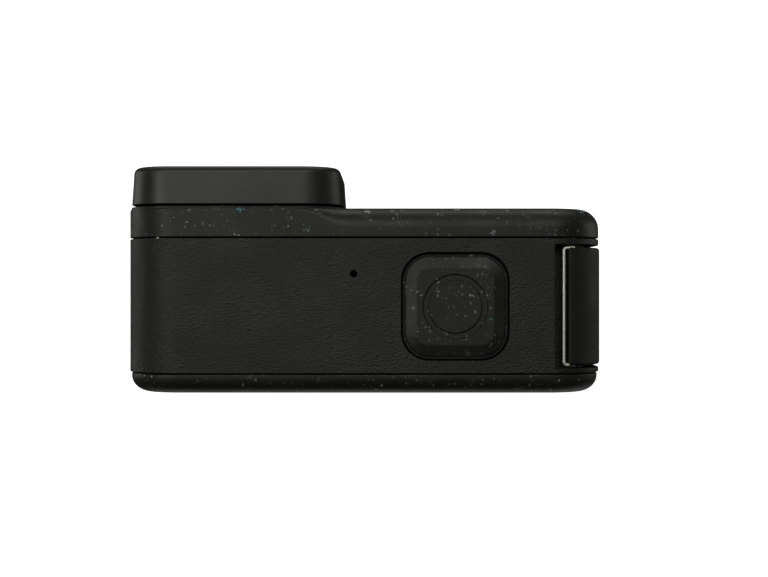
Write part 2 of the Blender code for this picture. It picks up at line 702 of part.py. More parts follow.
def make_finger(name, side):
    """A mount finger, folded up into the base; it stands down when it turns about its pin."""
    low = FINGER_AXIS_Z - FINGER_THICKNESS / 2
    high = FINGER_AXIS_Z + FINGER_THICKNESS / 2
    hole = FINGER_AXIS_X + FINGER_HOLE_REACH
    end = hole + FINGER_HALF_WIDTH
    barrel = arc(FINGER_AXIS_X, FINGER_AXIS_Z, FINGER_THICKNESS / 2, 90, 270, 8)
    section = [(side * x, z) for x, z in barrel + [(end + 1, low), (end + 1, high)]]
    front = MIDDLE_Y - FINGER_HALF_WIDTH
    back = MIDDLE_Y + FINGER_HALF_WIDTH
    finger = add(name, prism(section, "Y", front, back), "satin_plastic",
                 (side * FINGER_AXIS_X, MIDDLE_Y, FINGER_AXIS_Z))
    tip = arc(hole, MIDDLE_Y, FINGER_HALF_WIDTH, -90, 90, 12)
    plan = [(-1, front - 1), (hole - 0.5, front - 1), *tip, (hole - 0.5, back + 1), (-1, back + 1)]
    combine(finger, prism([(side * x, y) for x, y in plan], "Z", low - 1, high + 1), "INTERSECT")
    notch = TRIPOD_OUTER + 0.4
    cut(
        finger,
        block(sorted((-side, side * 5.2)), (MIDDLE_Y - notch, MIDDLE_Y + notch), (low - 1, high + 1)),
        disc(FINGER_HOLE_RADIUS, (side * hole, MIDDLE_Y), "Z", low - 1, high + 1, 24),
        disc(FINGER_PIN_RADIUS + 0.1, (side * FINGER_AXIS_X, FINGER_AXIS_Z), "Y", front - 1, back + 1),
    )
    for end_name, ends in (("front", (-5.9, MIDDLE_Y - notch)), ("back", (MIDDLE_Y + notch, 13.1))):
        add(f"{name}_{end_name}_pin",
            disc(FINGER_PIN_RADIUS, (side * FINGER_AXIS_X, FINGER_AXIS_Z), "Y", *ends), "steel")


def make_base():
    make_finger("finger_left", -1)
    make_finger("finger_right", 1)
    insert = ((TRIPOD_RADIUS, TRIPOD_LOW), (TRIPOD_OUTER, TRIPOD_LOW), (TRIPOD_OUTER, TRIPOD_TOP),
              (0, TRIPOD_TOP), (0, TRIPOD_TOP - 0.4), (TRIPOD_RADIUS, TRIPOD_TOP - 0.4))
    add("tripod_insert", turned(insert, (0, MIDDLE_Y, 0), "Z"), "steel")


def main():
    for thing in list(bpy.data.objects):
        bpy.data.objects.remove(thing)
    make_front_shell()
    make_front_insides()
    make_main_housing()
    make_rear()
    make_lens()
    make_lens_cover()
    make_shutter()
    make_mode()
    make_door()
    make_latch()
    make_insides()
    make_base()


main()
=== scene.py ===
"""The looks of the action camera: fine shells, glass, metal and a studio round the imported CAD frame.

Lengths in the modelling code are millimetres, and to_object turns them into metres. X runs across the
front, Y from front (negative) to back, Z up, as in the CAD.
"""

from math import acos, cos, pi, radians, sin

import bmesh
import bpy
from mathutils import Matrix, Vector


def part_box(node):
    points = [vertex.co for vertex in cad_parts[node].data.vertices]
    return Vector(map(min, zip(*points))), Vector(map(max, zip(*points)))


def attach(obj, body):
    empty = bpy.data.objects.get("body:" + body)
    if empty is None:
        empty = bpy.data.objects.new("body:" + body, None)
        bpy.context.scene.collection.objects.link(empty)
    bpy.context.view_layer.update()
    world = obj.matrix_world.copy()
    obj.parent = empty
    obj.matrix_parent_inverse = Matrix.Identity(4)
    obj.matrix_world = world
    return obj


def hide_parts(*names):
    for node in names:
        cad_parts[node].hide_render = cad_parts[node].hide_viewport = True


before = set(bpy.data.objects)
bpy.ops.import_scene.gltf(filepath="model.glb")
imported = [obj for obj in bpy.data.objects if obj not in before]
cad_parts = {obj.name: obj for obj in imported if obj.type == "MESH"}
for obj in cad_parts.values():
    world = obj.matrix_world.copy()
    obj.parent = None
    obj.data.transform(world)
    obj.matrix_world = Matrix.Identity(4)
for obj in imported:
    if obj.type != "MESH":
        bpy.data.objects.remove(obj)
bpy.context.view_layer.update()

MM = 0.001
CORNER_STEPS = 20
FILLET_STEPS = 8
ROUND_STEPS = 96


# --- Sizes, read from the frame ---


class Box:
    """A CAD node's box in millimetres: left, right, front, back, low and high."""

    def __init__(self, *nodes):
        boxes = [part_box(node) for node in nodes]
        lows = [min(box[0][i] for box in boxes) / MM for i in range(3)]
        highs = [max(box[1][i] for box in boxes) / MM for i in range(3)]
        self.left, self.front, self.low = lows
        self.right, self.back, self.high = highs

    def middle(self, axis):
        ends = {"X": (self.left, self.right), "Y": (self.front, self.back), "Z": (self.low, self.high)}
        return sum(ends[axis]) / 2

    def centre(self, axes):
        """The middle along each of these axes, such as "XZ"."""
        return tuple(self.middle(axis) for axis in axes)

    def faces(self, outward):
        """Where the outer and the inner face are along Y: outward is 1 at the back, -1 at the front."""
        return (self.back, self.front) if outward > 0 else (self.front, self.back)


HOUSING = Box("main_housing")
FRONT = Box("front_shell")
REAR = Box("rear_shell")
COVER = Box("lens_cover_frame")
COVER_GLASS = Box("lens_cover_glass")
SHUTTER = Box("shutter_button")
MODE = Box("mode_button")
DOOR = Box("door_panel")
WIRE = Box("door_hinge_wire")
LATCH = Box("door_latch")
FRONT_GLASS = Box("front_screen_glass")
REAR_GLASS = Box("rear_screen_glass")
TOP_MIC = Box("microphone_mesh")
INSERT = Box("tripod_insert")
FRONT_LIGHT = Box("front_status_light")
REAR_LIGHT = Box("rear_status_light")

HALF = HOUSING.right
HEIGHT = HOUSING.high
CORNER = 8.0
GAP = 0.3
LENS_CENTRE = COVER.centre("XZ")
LENS_X, LENS_Z = LENS_CENTRE


# --- Node trees ---


class Recipe:
    """A Principled material, built a node at a time. Coordinates are the object's, in millimetres."""

    def __init__(self, name, colour, roughness, **constants):
        self.material = bpy.data.materials.new(name)
        self.material.use_nodes = True
        self.tree = self.material.node_tree
        self.shader = self.tree.nodes["Principled BSDF"]
        self.shader.inputs["Base Color"].default_value = (*colour, 1)
        self.shader.inputs["Roughness"].default_value = roughness
        for key, value in constants.items():
            self.shader.inputs[key.replace("_", " ")].default_value = value
        coordinates = self.node("TexCoord").outputs["Object"]
        self.mm = self.vector("SCALE", coordinates, 1 / MM)

    def node(self, kind, inputs=(), **settings):
        made = self.tree.nodes.new("ShaderNode" + kind)
        for key, value in settings.items():
            setattr(made, key, value)
        for key, value in dict(inputs).items():
            self.plug(made.inputs[key], value)
        return made

    def plug(self, socket, value):
        if isinstance(value, bpy.types.NodeSocket):
            self.tree.links.new(value, socket)
        else:
            socket.default_value = value

    def set(self, name, value):
        self.plug(self.shader.inputs[name], value)

    def vector(self, operation, a, b):
        second = "Scale" if operation == "SCALE" else 1
        return self.node("VectorMath", {0: a, second: b}, operation=operation).outputs[0]

    def stretched(self, x, y, z):
        """The coordinates, multiplied along each axis."""
        return self.vector("MULTIPLY", self.mm, (x, y, z))

    def noise(self, scale, detail=2.0, vector=None, output="Fac", roughness=0.5):
        inputs = {"Vector": vector or self.mm, "Scale": scale, "Detail": detail, "Roughness": roughness}
        return self.node("TexNoise", inputs).outputs[output]

    def math(self, operation, a, b):
        return self.node("Math", {0: a, 1: b}, operation=operation).outputs[0]

    def times(self, a, b):
        return self.math("MULTIPLY", a, b)

    def ramp(self, value, low, high, to_low=0.0, to_high=1.0):
        """The value, taken smoothly from low..high to to_low..to_high."""
        inputs = {"Value": value, 1: low, 2: high, 3: to_low, 4: to_high}
        return self.node("MapRange", inputs, interpolation_type="SMOOTHSTEP").outputs[0]

    def mix(self, share, a, b):
        """Colour a, going to colour b as share goes to 1."""
        values = {0: share}
        for index, colour in ((6, a), (7, b)):
            values[index] = (*colour, 1) if isinstance(colour, tuple) else colour
        return self.node("Mix", values, data_type="RGBA").outputs[2]

    def mottle(self, scale, detail, low, high, first, second):
        """A base colour that goes between two, as noise of this scale goes from low to high."""
        self.set("Base Color", self.mix(self.ramp(self.noise(scale, detail), low, high), first, second))

    def wear(self, scale, detail, low, high, smooth, rough):
        """A roughness that goes between two, as noise of this scale goes from low to high."""
        self.set("Roughness", self.ramp(self.noise(scale, detail), low, high, smooth, rough))

    def bump(self, height, strength, distance):
        """A bump of this many millimetres, on top of any bump that the shader has."""
        inputs = {"Height": height, "Strength": strength, "Distance": distance * MM}
        before = self.shader.inputs["Normal"].links
        if before:
            inputs["Normal"] = before[0].from_socket
        self.set("Normal", self.node("Bump", inputs).outputs[0])

    def smudges(self, base, spread):
        """A roughness that wanders a little over the surface, as handling leaves it."""
        self.wear(0.12, 4.0, 0.35, 0.65, base - spread, base + spread)


def fleck_layer(recipe, colour, cell, share, size, tints, cluster):
    """Adds irregular flecks: about one for each cell millimetres, in this share of the cells."""
    wobble = recipe.noise(3.2 / cell, 3.0, output="Color", roughness=0.8)
    centred = recipe.vector("SUBTRACT", wobble, (0.5, 0.5, 0.5))
    moved = recipe.vector("ADD", recipe.mm, recipe.vector("SCALE", centred, 2.1 * cell))
    cells = recipe.node("TexVoronoi", {"Vector": moved, "Scale": 1 / cell}, distance="CHEBYCHEV")
    random = recipe.node("SeparateColor", {0: cells.outputs["Color"]})
    chosen = recipe.math("GREATER_THAN", random.outputs[0], 1 - share)
    reach = recipe.ramp(random.outputs[1], 0.0, 1.0, size[0] / cell, size[1] / cell)
    edge = recipe.math("DIVIDE", cells.outputs["Distance"], reach)
    groups = recipe.ramp(recipe.noise(cluster, 1.0), 0.40, 0.56)
    mask = recipe.times(recipe.times(recipe.ramp(edge, 1.0, 0.72), chosen), groups)
    tint = recipe.mix(recipe.ramp(random.outputs[2], 0.55, 0.75), tints[0], tints[1])
    tint = recipe.mix(recipe.ramp(random.outputs[2], 0.86, 0.93), tint, tints[2])
    shade = recipe.ramp(random.outputs[1], 0.0, 1.0, 0.25, 1.0)
    return recipe.mix(recipe.times(mask, shade), colour, tint)


def speckled_plastic():
    """Dark moulded plastic with chips of pale and blue plastic in it."""
    recipe = Recipe("speckled_plastic", (0.012, 0.013, 0.0118), 0.5, Specular_IOR_Level=0.42)
    mottle = recipe.ramp(recipe.noise(0.16, 3.0), 0.35, 0.7)
    colour = recipe.mix(mottle, (0.0112, 0.0122, 0.0095), (0.0125, 0.0150, 0.0140))
    pale = ((0.40, 0.42, 0.37), (0.26, 0.36, 0.35), (0.10, 0.28, 0.34))
    grey = ((0.10, 0.10, 0.09), (0.06, 0.09, 0.088), (0.04, 0.08, 0.10))
    bright = ((0.42, 0.45, 0.42), (0.22, 0.38, 0.40), (0.10, 0.34, 0.46))
    colour = fleck_layer(recipe, colour, 0.45, 0.30, (0.05, 0.11), grey, 0.45)
    colour = fleck_layer(recipe, colour, 0.6, 0.5, (0.05, 0.14), pale, 0.32)
    colour = fleck_layer(recipe, colour, 1.7, 0.36, (0.12, 0.34), bright, 0.25)
    recipe.set("Base Color", colour)
    recipe.smudges(0.5, 0.05)
    recipe.bump(recipe.noise(9.0, 3.0), 0.18, 0.012)
    recipe.bump(recipe.noise(1.1, 2.0), 0.2, 0.02)
    return recipe.material


def grained_plastic():
    """Black plastic with a fine grain that runs round the body."""
    recipe = Recipe("grained_plastic", (0.012, 0.0125, 0.0095), 0.5, Specular_IOR_Level=0.42)
    along = recipe.stretched(1.0, 2.3, 1.0)
    wrinkles = recipe.noise(1.9, 5.0, along, roughness=0.62)
    pebbles = recipe.node("TexVoronoi", {"Vector": along, "Scale": 2.5, "Randomness": 1.0},
                          feature="SMOOTH_F1").outputs["Distance"]
    grain = recipe.math("ADD", recipe.times(wrinkles, 0.75), recipe.times(pebbles, 0.45))
    colour = recipe.mix(recipe.ramp(grain, 0.4, 0.8), (0.0128, 0.0134, 0.0102), (0.0100, 0.0104, 0.0080))
    tint = recipe.ramp(recipe.noise(0.07, 3.0), 0.4, 0.62)
    recipe.set("Base Color", recipe.mix(recipe.times(tint, 0.5), colour, (0.0125, 0.0125, 0.0120)))
    recipe.smudges(0.5, 0.05)
    recipe.bump(grain, 1.0, 0.105)
    recipe.bump(recipe.noise(14.0, 2.0, along), 0.4, 0.015)
    return recipe.material


def plain_material(name, colour, roughness, tone, tints, wander, relief, **constants):
    """A material with a mottled colour, a roughness that wanders and a fine relief.

    tone holds the mottling's scale, detail, low and high, and tints its two colours. wander is how far
    smudges take the roughness, or all that wear asks for. relief holds the bump's scale, detail,
    strength and depth.
    """
    recipe = Recipe(name, colour, roughness, **constants)
    recipe.mottle(*tone, *tints)
    if isinstance(wander, tuple):
        recipe.wear(*wander)
    else:
        recipe.smudges(roughness, wander)
    scale, detail, strength, depth = relief
    recipe.bump(recipe.noise(scale, detail), strength, depth)
    return recipe.material


def soft_rubber():
    """Matte soft-touch rubber with a fine stipple."""
    recipe = Recipe("soft_rubber", (0.0115, 0.0118, 0.0096), 0.56, Specular_IOR_Level=0.42)
    recipe.mottle(0.13, 4.0, 0.35, 0.65, (0.0105, 0.0109, 0.0088), (0.0125, 0.0128, 0.0106))
    recipe.smudges(0.62, 0.06)
    stipple = recipe.node("TexVoronoi", {"Vector": recipe.mm, "Scale": 6.0}).outputs["Distance"]
    recipe.bump(stipple, 0.22, 0.015)
    return recipe.material


def active_area():
    """The display area of a screen that is off: a slightly blue black with a faint pixel grid."""
    recipe = Recipe("active_area", (0.008, 0.009, 0.013), 0.16, Coat_Weight=1.0, Coat_Roughness=0.02)
    grid = recipe.node("TexChecker", {"Vector": recipe.mm, "Scale": 14.0}).outputs["Fac"]
    recipe.set("Base Color", recipe.mix(grid, (0.0075, 0.0085, 0.012), (0.0095, 0.0105, 0.015)))
    recipe.wear(0.2, 4.0, 0.3, 0.7, 0.12, 0.2)
    recipe.bump(recipe.noise(0.06, 1.0), 0.05, 0.02)
    return recipe.material


def stainless_steel(name, polish):
    """Drawn stainless steel with fine marks along it; polish is the lowest and highest roughness."""
    recipe = Recipe(name, (0.72, 0.72, 0.70), polish[0], Metallic=1.0)
    recipe.mottle(0.22, 4.0, 0.4, 0.7, (0.78, 0.78, 0.75), (0.62, 0.60, 0.57))
    recipe.wear(3.0, 4.0, 0.35, 0.75, *polish)
    recipe.bump(recipe.noise(2.0, 4.0, recipe.stretched(6.0, 0.6, 6.0)), 0.15, 0.01)
    return recipe.material


def circuit_board():
    """Solder mask over copper tracks, with a few tinned pads."""
    recipe = Recipe("circuit_board", (0.01, 0.06, 0.03), 0.38, Coat_Weight=0.3)
    tracks = recipe.node("TexBrick", {"Vector": recipe.mm, "Scale": 0.55, "Mortar Size": 0.06,
                                      "Color1": (0, 0, 0, 1), "Color2": (0.15, 0.15, 0.15, 1),
                                      "Mortar": (1, 1, 1, 1)}).outputs["Color"]
    colour = recipe.mix(tracks, (0.008, 0.050, 0.028), (0.020, 0.105, 0.050))
    pads = recipe.node("TexVoronoi", {"Vector": recipe.mm, "Scale": 0.7}).outputs["Distance"]
    recipe.set("Base Color", recipe.mix(recipe.ramp(pads, 0.2, 0.16), colour, (0.55, 0.55, 0.5)))
    recipe.smudges(0.38, 0.06)
    recipe.bump(tracks, 0.3, 0.03)
    return recipe.material


def battery_film():
    """A satin film shrunk over the cell, a little creased."""
    recipe = Recipe("battery_film", (0.035, 0.036, 0.04), 0.4, Coat_Weight=0.2)
    recipe.mottle(0.1, 4.0, 0.35, 0.65, (0.030, 0.031, 0.036), (0.044, 0.045, 0.05))
    recipe.smudges(0.4, 0.08)
    recipe.bump(recipe.noise(0.5, 4.0, recipe.stretched(0.4, 1.6, 1.0)), 0.25, 0.06)
    return recipe.material


SPECKLED = speckled_plastic()
GRAINED = grained_plastic()
SATIN = plain_material(
    "satin_plastic", (0.021, 0.0212, 0.0200), 0.42, (0.09, 3.0, 0.35, 0.65),
    ((0.0202, 0.0206, 0.0188), (0.0220, 0.0220, 0.0216)), 0.03, (11.0, 3.0, 0.16, 0.01),
    Specular_IOR_Level=0.42)
RUBBER = soft_rubber()
INNER = plain_material(
    "inner_plastic", (0.018, 0.018, 0.019), 0.55, (0.4, 3.0, 0.3, 0.7),
    ((0.015, 0.015, 0.016), (0.023, 0.023, 0.024)), 0.08, (7.0, 4.0, 0.3, 0.02))
SEAL = plain_material(
    "seal_rubber", (0.03, 0.03, 0.032), 0.6, (0.6, 4.0, 0.45, 0.75),
    ((0.026, 0.027, 0.029), (0.055, 0.056, 0.06)), 0.1, (5.0, 2.0, 0.2, 0.02))
# Gloss glass, dark right through.
SCREEN = plain_material(
    "screen_glass", (0.004, 0.004, 0.005), 0.05, (0.09, 5.0, 0.4, 0.75),
    ((0.0035, 0.0036, 0.0045), (0.006, 0.0062, 0.0078)), (0.3, 6.0, 0.45, 0.8, 0.04, 0.13),
    (0.05, 1.0, 0.05, 0.02), Coat_Weight=1.0, Coat_Roughness=0.02, IOR=1.5)
ACTIVE = active_area()
# Clear glass with a coating that leaves only a faint blue-green reflection.
OPTICAL = plain_material(
    "optical_glass", (0.90, 0.93, 0.95), 0.0, (0.9, 6.0, 0.55, 0.8),
    ((0.88, 0.92, 0.94), (0.84, 0.87, 0.89)), (0.25, 5.0, 0.5, 0.9, 0.0, 0.035), (0.08, 1.0, 0.02, 0.01),
    Transmission_Weight=1.0, IOR=1.52, Specular_IOR_Level=0.07, Specular_Tint=(0.60, 0.85, 0.95, 1))
STEEL = stainless_steel("polished_steel", (0.14, 0.3))
WIRE_STEEL = stainless_steel("drawn_steel", (0.5, 0.6))
ALUMINIUM = plain_material(
    "blasted_aluminium", (0.55, 0.56, 0.57), 0.4, (0.2, 4.0, 0.3, 0.7),
    ((0.50, 0.51, 0.52), (0.60, 0.61, 0.62)), 0.07, (12.0, 3.0, 0.3, 0.015), Metallic=1.0)
GOLD = plain_material(
    "gold_contacts", (0.83, 0.6, 0.24), 0.25, (1.2, 5.0, 0.45, 0.7),
    ((0.85, 0.62, 0.26), (0.68, 0.48, 0.2)), (2.0, 4.0, 0.35, 0.7, 0.18, 0.36), (4.0, 3.0, 0.15, 0.01),
    Metallic=1.0)
BOARD = circuit_board()
CHIP = plain_material(
    "chip_package", (0.02, 0.02, 0.022), 0.5, (1.5, 5.0, 0.35, 0.65),
    ((0.017, 0.017, 0.019), (0.028, 0.028, 0.03)), 0.06, (9.0, 2.0, 0.25, 0.012))
BATTERY = battery_film()
LIGHT = plain_material(
    "light_guide", (0.5, 0.53, 0.52), 0.25, (1.5, 3.0, 0.35, 0.65),
    ((0.42, 0.45, 0.44), (0.56, 0.58, 0.57)), 0.05, (3.0, 2.0, 0.1, 0.01), Transmission_Weight=0.3,
    IOR=1.49)


# --- Modelling ---


def place(u, v, depth, axis):
    """The point at (u, v) in the plane across the axis, at this depth along it."""
    return {"X": (depth, u, v), "Y": (u, depth, v), "Z": (u, v, depth)}[axis]


def about(middle, half):
    """The two ends of a range that reaches half either side of its middle."""
    return middle - half, middle + half


def arc(centre_u, centre_v, radius, start, end, steps):
    """Points on an arc, from one angle in degrees to the other."""
    angles = [radians(start + (end - start) * step / steps) for step in range(steps + 1)]
    return [(centre_u + radius * cos(a), centre_v + radius * sin(a)) for a in angles]


def rounded(left, right, low, high, radius, steps=CORNER_STEPS, side_steps=1):
    """A rounded rectangle, anticlockwise from its right side. radius may be one per corner."""
    radii = radius if isinstance(radius, tuple) else (radius,) * 4
    corners = ((right, high, -1, -1), (left, high, 1, -1), (left, low, 1, 1), (right, low, -1, 1))
    arcs = []
    for turn, ((u, v, inward_u, inward_v), corner) in enumerate(zip(corners, radii)):
        centre = (u + corner * inward_u, v + corner * inward_v)
        arcs.append(arc(*centre, corner, 90 * turn, 90 * (turn + 1), steps))
    points = []
    for here, following in zip(arcs, arcs[1:] + arcs[:1]):
        points += here
        (u0, v0), (u1, v1) = here[-1], following[0]
        for step in range(1, side_steps):
            share = step / side_steps
            points.append((u0 + (u1 - u0) * share, v0 + (v1 - v0) * share))
    return points


def shrinking(left, right, low, high, corner, steps=CORNER_STEPS, slack=1.0):
    """A function of the inset that gives the rounded rectangle moved in by it."""
    return lambda inset: rounded(left + inset, right - inset, low + inset, high - inset,
                                 corner - inset * slack, steps)


def body_outline(inset, side_steps=1):
    """The camera's outline as the front shows it, moved in by inset."""
    half = HALF - inset
    return rounded(-half, half, inset, HEIGHT - inset, CORNER - inset, side_steps=side_steps)


def softened(points, steps=5):
    """A path of (u, v, radius) points, with each corner of a radius over 0 rounded."""
    path = []
    count = len(points)
    for index, (u, v, radius) in enumerate(points):
        if not radius:
            path.append((u, v))
            continue
        here = Vector((u, v))
        before = Vector(points[index - 1][:2]) - here
        after = Vector(points[(index + 1) % count][:2]) - here
        start = here + before.normalized() * min(radius, before.length * 0.48)
        end = here + after.normalized() * min(radius, after.length * 0.48)
        for step in range(steps + 1):
            t = step / steps
            path.append(tuple(start * (1 - t) ** 2 + here * (2 * t * (1 - t)) + end * t**2))
    return path


def loft(loops, closed=False):
    """A mesh through loops of equally many points: capped at both ends, or joined end to start."""
    mesh = bmesh.new()
    rings = [[mesh.verts.new(point) for point in loop] for loop in loops]
    count = len(rings[0])
    pairs = list(zip(rings, rings[1:] + rings[:1]))
    for ring, following in pairs if closed else pairs[:-1]:
        for here in range(count):
            there = (here + 1) % count
            mesh.faces.new((ring[here], ring[there], following[there], following[here]))
    if not closed:
        mesh.faces.new(rings[0])
        mesh.faces.new(rings[-1])
    bmesh.ops.recalc_face_normals(mesh, faces=mesh.faces)
    return mesh


def prism(outline, axis, start, end):
    """The outline, extruded along the axis."""
    return loft([[place(u, v, depth, axis) for u, v in outline] for depth in (start, end)])


def stacked(outline_at, sections, axis):
    """Outlines at (depth, inset) sections, joined in order."""
    return loft([[place(u, v, depth, axis) for u, v in outline_at(inset)] for depth, inset in sections])


def quarter(steps=FILLET_STEPS):
    """(sine, 1 - cosine) over a quarter turn."""
    angles = [radians(90 * step / steps) for step in range(steps + 1)]
    return [(sin(a), 1 - cos(a)) for a in angles]


def edge_in(face, towards, depth, width=None, steps=FILLET_STEPS):
    """Sections that round an outer edge up to its face: towards is the face's outward sign."""
    width = depth if width is None else width
    return [(face - towards * depth * (1 - s), width * c) for s, c in quarter(steps)]


def edge_out(face, outward, radius, steps=4):
    """Sections that start at a face and round its outer edge away from it."""
    return list(reversed(edge_in(face, outward, radius, steps=steps)))


def recess(outline_at, axis, face, floor, rim=0.12):
    """A cutter for a pocket from its floor to a face, whose rim is rounded."""
    outward = 1 if face > floor else -1
    sections = [(floor, 0)] + [(face - outward * rim * (1 - s), -rim * c) for s, c in quarter(4)]
    return stacked(outline_at, sections + [(face + outward * 0.6, -rim)], axis)


def circle(radius, steps=ROUND_STEPS):
    return [(radius * cos(2 * pi * i / steps), radius * sin(2 * pi * i / steps)) for i in range(steps)]


def round_outline(centre, radius, steps=ROUND_STEPS):
    """A function of the inset that gives a circle round centre."""
    return lambda inset: [(centre[0] + u, centre[1] + v) for u, v in circle(radius - inset, steps)]


def rod(centre, radius, axis, start, end, steps=ROUND_STEPS):
    """A cylinder along the axis."""
    return prism(round_outline(centre, radius, steps)(0), axis, start, end)


def turned(profile, centre, axis, steps=ROUND_STEPS):
    """A closed profile of (radius, depth) points, turned round the axis through centre (u, v)."""
    loops = []
    for i in range(steps):
        angle = 2 * pi * i / steps
        loops.append([place(centre[0] + r * cos(angle), centre[1] + r * sin(angle), depth, axis)
                      for r, depth in profile])
    mesh = loft(loops, closed=True)
    bmesh.ops.remove_doubles(mesh, verts=mesh.verts, dist=1e-5)
    bmesh.ops.recalc_face_normals(mesh, faces=mesh.faces)
    return mesh


def box_mesh(x, y, z, edge=0.1, segments=3):
    """A box over three (low, high) ranges, with rounded edges."""
    mesh = prism(((x[0], z[0]), (x[1], z[0]), (x[1], z[1]), (x[0], z[1])), "Y", *y)
    if edge:
        bmesh.ops.bevel(mesh, geom=mesh.edges[:], offset=edge, segments=segments, profile=0.5,
                        affect="EDGES", clamp_overlap=True)
    return mesh


def to_object(name, mesh):
    for vert in mesh.verts:
        vert.co *= MM
    data = bpy.data.meshes.new(name)
    mesh.to_mesh(data)
    mesh.free()
    piece = bpy.data.objects.new(name, data)
    bpy.context.collection.objects.link(piece)
    return piece


def combined(piece, steps):
    """Applies (operation, mesh) Booleans to the piece, in order."""
    for operation, mesh in steps:
        helper = to_object(piece.name + "_helper", mesh)
        modifier = piece.modifiers.new("Boolean", "BOOLEAN")
        modifier.operation = operation
        modifier.solver = "EXACT"
        modifier.object = helper
        graph = bpy.context.evaluated_depsgraph_get()
        result = bpy.data.meshes.new_from_object(piece.evaluated_get(graph))
        piece.modifiers.clear()
        old = piece.data
        piece.data = result
        bpy.data.meshes.remove(old)
        bpy.data.objects.remove(helper)
    return piece


def cut(piece, *meshes):
    return combined(piece, [("DIFFERENCE", mesh) for mesh in meshes])


def join(piece, *meshes):
    return combined(piece, [("UNION", mesh) for mesh in meshes])


def finished(piece, material, body, nodes=(), angle=32):
    """Shades the piece, gives it its material, ties it to its body and hides the CAD nodes that it stands
    in for.
    """
    piece.data.materials.clear()
    piece.data.materials.append(material)
    piece.data.shade_smooth()
    piece.data.set_sharp_from_angle(angle=radians(angle))
    weighted = piece.modifiers.new("Weighted Normal", "WEIGHTED_NORMAL")
    weighted.keep_sharp = True
    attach(piece, body)
    if nodes:
        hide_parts(*nodes)
    return piece


def smooth_step(value):
    value = min(1.0, max(0.0, value))
    return value * value * (3 - 2 * value)


# --- Shells ---

SEAM_EDGE = 0.12
SEAM_CLOSING = 0.06
FACE = FRONT.front + 0.25
FRONT_FILLET = 3.0
COVER_SIDE_FILLET = 0.3
COVER_CORNER = 6.0
FRONT_BLEND = 7.0
REAR_FILLET = (2.45, 2.9)
REAR_CROWN = 0.04
REAR_STEP = 0.25
WALL = 3.25
SHELL_WALL = 1.6
FLOOR = 5.8
BOSS_BACK = -1.9
RECESS_DEPTH = 2.3
SLOT_EDGE = -28.3
DOOR_GAP = (0.35, 0.4)
OPENING = (-4.4, 12.3, 6.0, 45.1)
SHUTTER_FLOOR = 48.45
SHUTTER_WELL = 8.1
SHUTTER_CORNER = 4.3
STEM_HOLE = 2.3
MODE_FLOOR = 33.85
MODE_HOLE = 1.7
MIC_RADIUS = 0.53
LENS_HOLE = 12.5
SCREEN_CORNER = 3.0
SCREEN_CLEARANCE = 0.14
LAMP_HOLE = 0.75
LAMP_RADIUS = 0.6
PIN_HOLE = 0.88
SPEAKER_SLOTS = (10, 12, 14)
FINGER_RECESS = (21.6, 8.0, 4.2)
PIN_X = 3.0
PIN_Z = 1.95


def front_edge_radius(u, v):
    """The front edge is hardly rounded beside the lens cover, and fully rounded elsewhere."""
    beside = smooth_step((u - COVER.left + 0.6) / FRONT_BLEND)
    beside *= smooth_step((v - COVER.low + 3) / FRONT_BLEND)
    return FRONT_FILLET + (COVER_SIDE_FILLET - FRONT_FILLET) * beside


def lens_square(half, corner):
    return shrinking(*about(LENS_X, half), *about(LENS_Z, half), corner)


def glass_outline(glass, margin):
    return shrinking(glass.left - margin, glass.right + margin, glass.low - margin, glass.high + margin,
                     SCREEN_CORNER + margin)


def make_front_shell():
    """The shell with its raised pad behind the lens cover, and its openings."""
    sides = 28
    outer = body_outline(0, sides)
    inner = body_outline(1, sides)

    def ring(depth, inset):
        return [place(u0 + (u1 - u0) * inset(u0, v0), v0 + (v1 - v0) * inset(u0, v0), depth(u0, v0), "Y")
                for (u0, v0), (u1, v1) in zip(outer, inner)]

    loops = [ring(lambda u, v, d=depth: d, lambda u, v, i=inset: i)
             for depth, inset in edge_out(FRONT.back + SEAM_CLOSING, 1, SEAM_EDGE)]
    for s, c in quarter(12):
        loops.append(ring(lambda u, v, k=s: FACE + front_edge_radius(u, v) * (1 - k),
                          lambda u, v, k=c: front_edge_radius(u, v) * k))
    shell = to_object("front_shell_skin", loft(loops))
    pad = lens_square(COVER.right - LENS_X + 0.12, COVER_CORNER + 0.4)
    join(shell, stacked(pad, [(FACE + 0.8, 0)] + edge_in(FRONT.front, -1, 0.12, steps=4), "Y"))
    light = FRONT_LIGHT.centre("XZ")
    slit = shrinking(*about(LENS_X, 1.3), *about(light[1], 0.3), 0.29, 8, 0.9)
    cut(
        shell,
        prism(body_outline(SHELL_WALL), "Y", FRONT.back + 1, FACE + 1.5),
        recess(glass_outline(FRONT_GLASS, SCREEN_CLEARANCE), "Y", FACE, FRONT_GLASS.back + 0.3, 0.15),
        prism(glass_outline(FRONT_GLASS, -2.3)(0), "Y", FACE, FACE + 3),
        rod(LENS_CENTRE, LENS_HOLE, "Y", -5, -12),
        recess(round_outline(light, LAMP_HOLE, 32), "Y", FACE, -8, 0.1),
        recess(slit, "Y", FACE, -8, 0.1),
    )
    finished(shell, SPECKLED, "body", ("front_shell",))


def corner_arc(from_x, radius, skipped=0):
    """The arc round the camera's upper corner on the door side, from this x down to the side."""
    centre_x = -HALF + CORNER
    start = 180 - acos((centre_x - from_x) / radius) * 180 / pi + skipped
    return arc(centre_x, HEIGHT - CORNER, radius, start, 180, CORNER_STEPS)


def recess_section(inset):
    """The door recess in section, as deep as inset, from its top edge round the corner to its foot."""
    rim = 0.15
    low = DOOR.low - 0.6
    points = [(SLOT_EDGE + rim, HEIGHT + 1)]
    points += [(SLOT_EDGE + rim * (1 - s), HEIGHT - min(rim * c, inset)) for s, c in quarter(4)]
    points += corner_arc(SLOT_EDGE - 0.01, CORNER - inset)
    points += [(-HALF + inset, low), (-HALF + 0.45 * inset, low), (-HALF - 1, low - 2)]
    return points + [(-HALF - 1, HEIGHT + 1)]


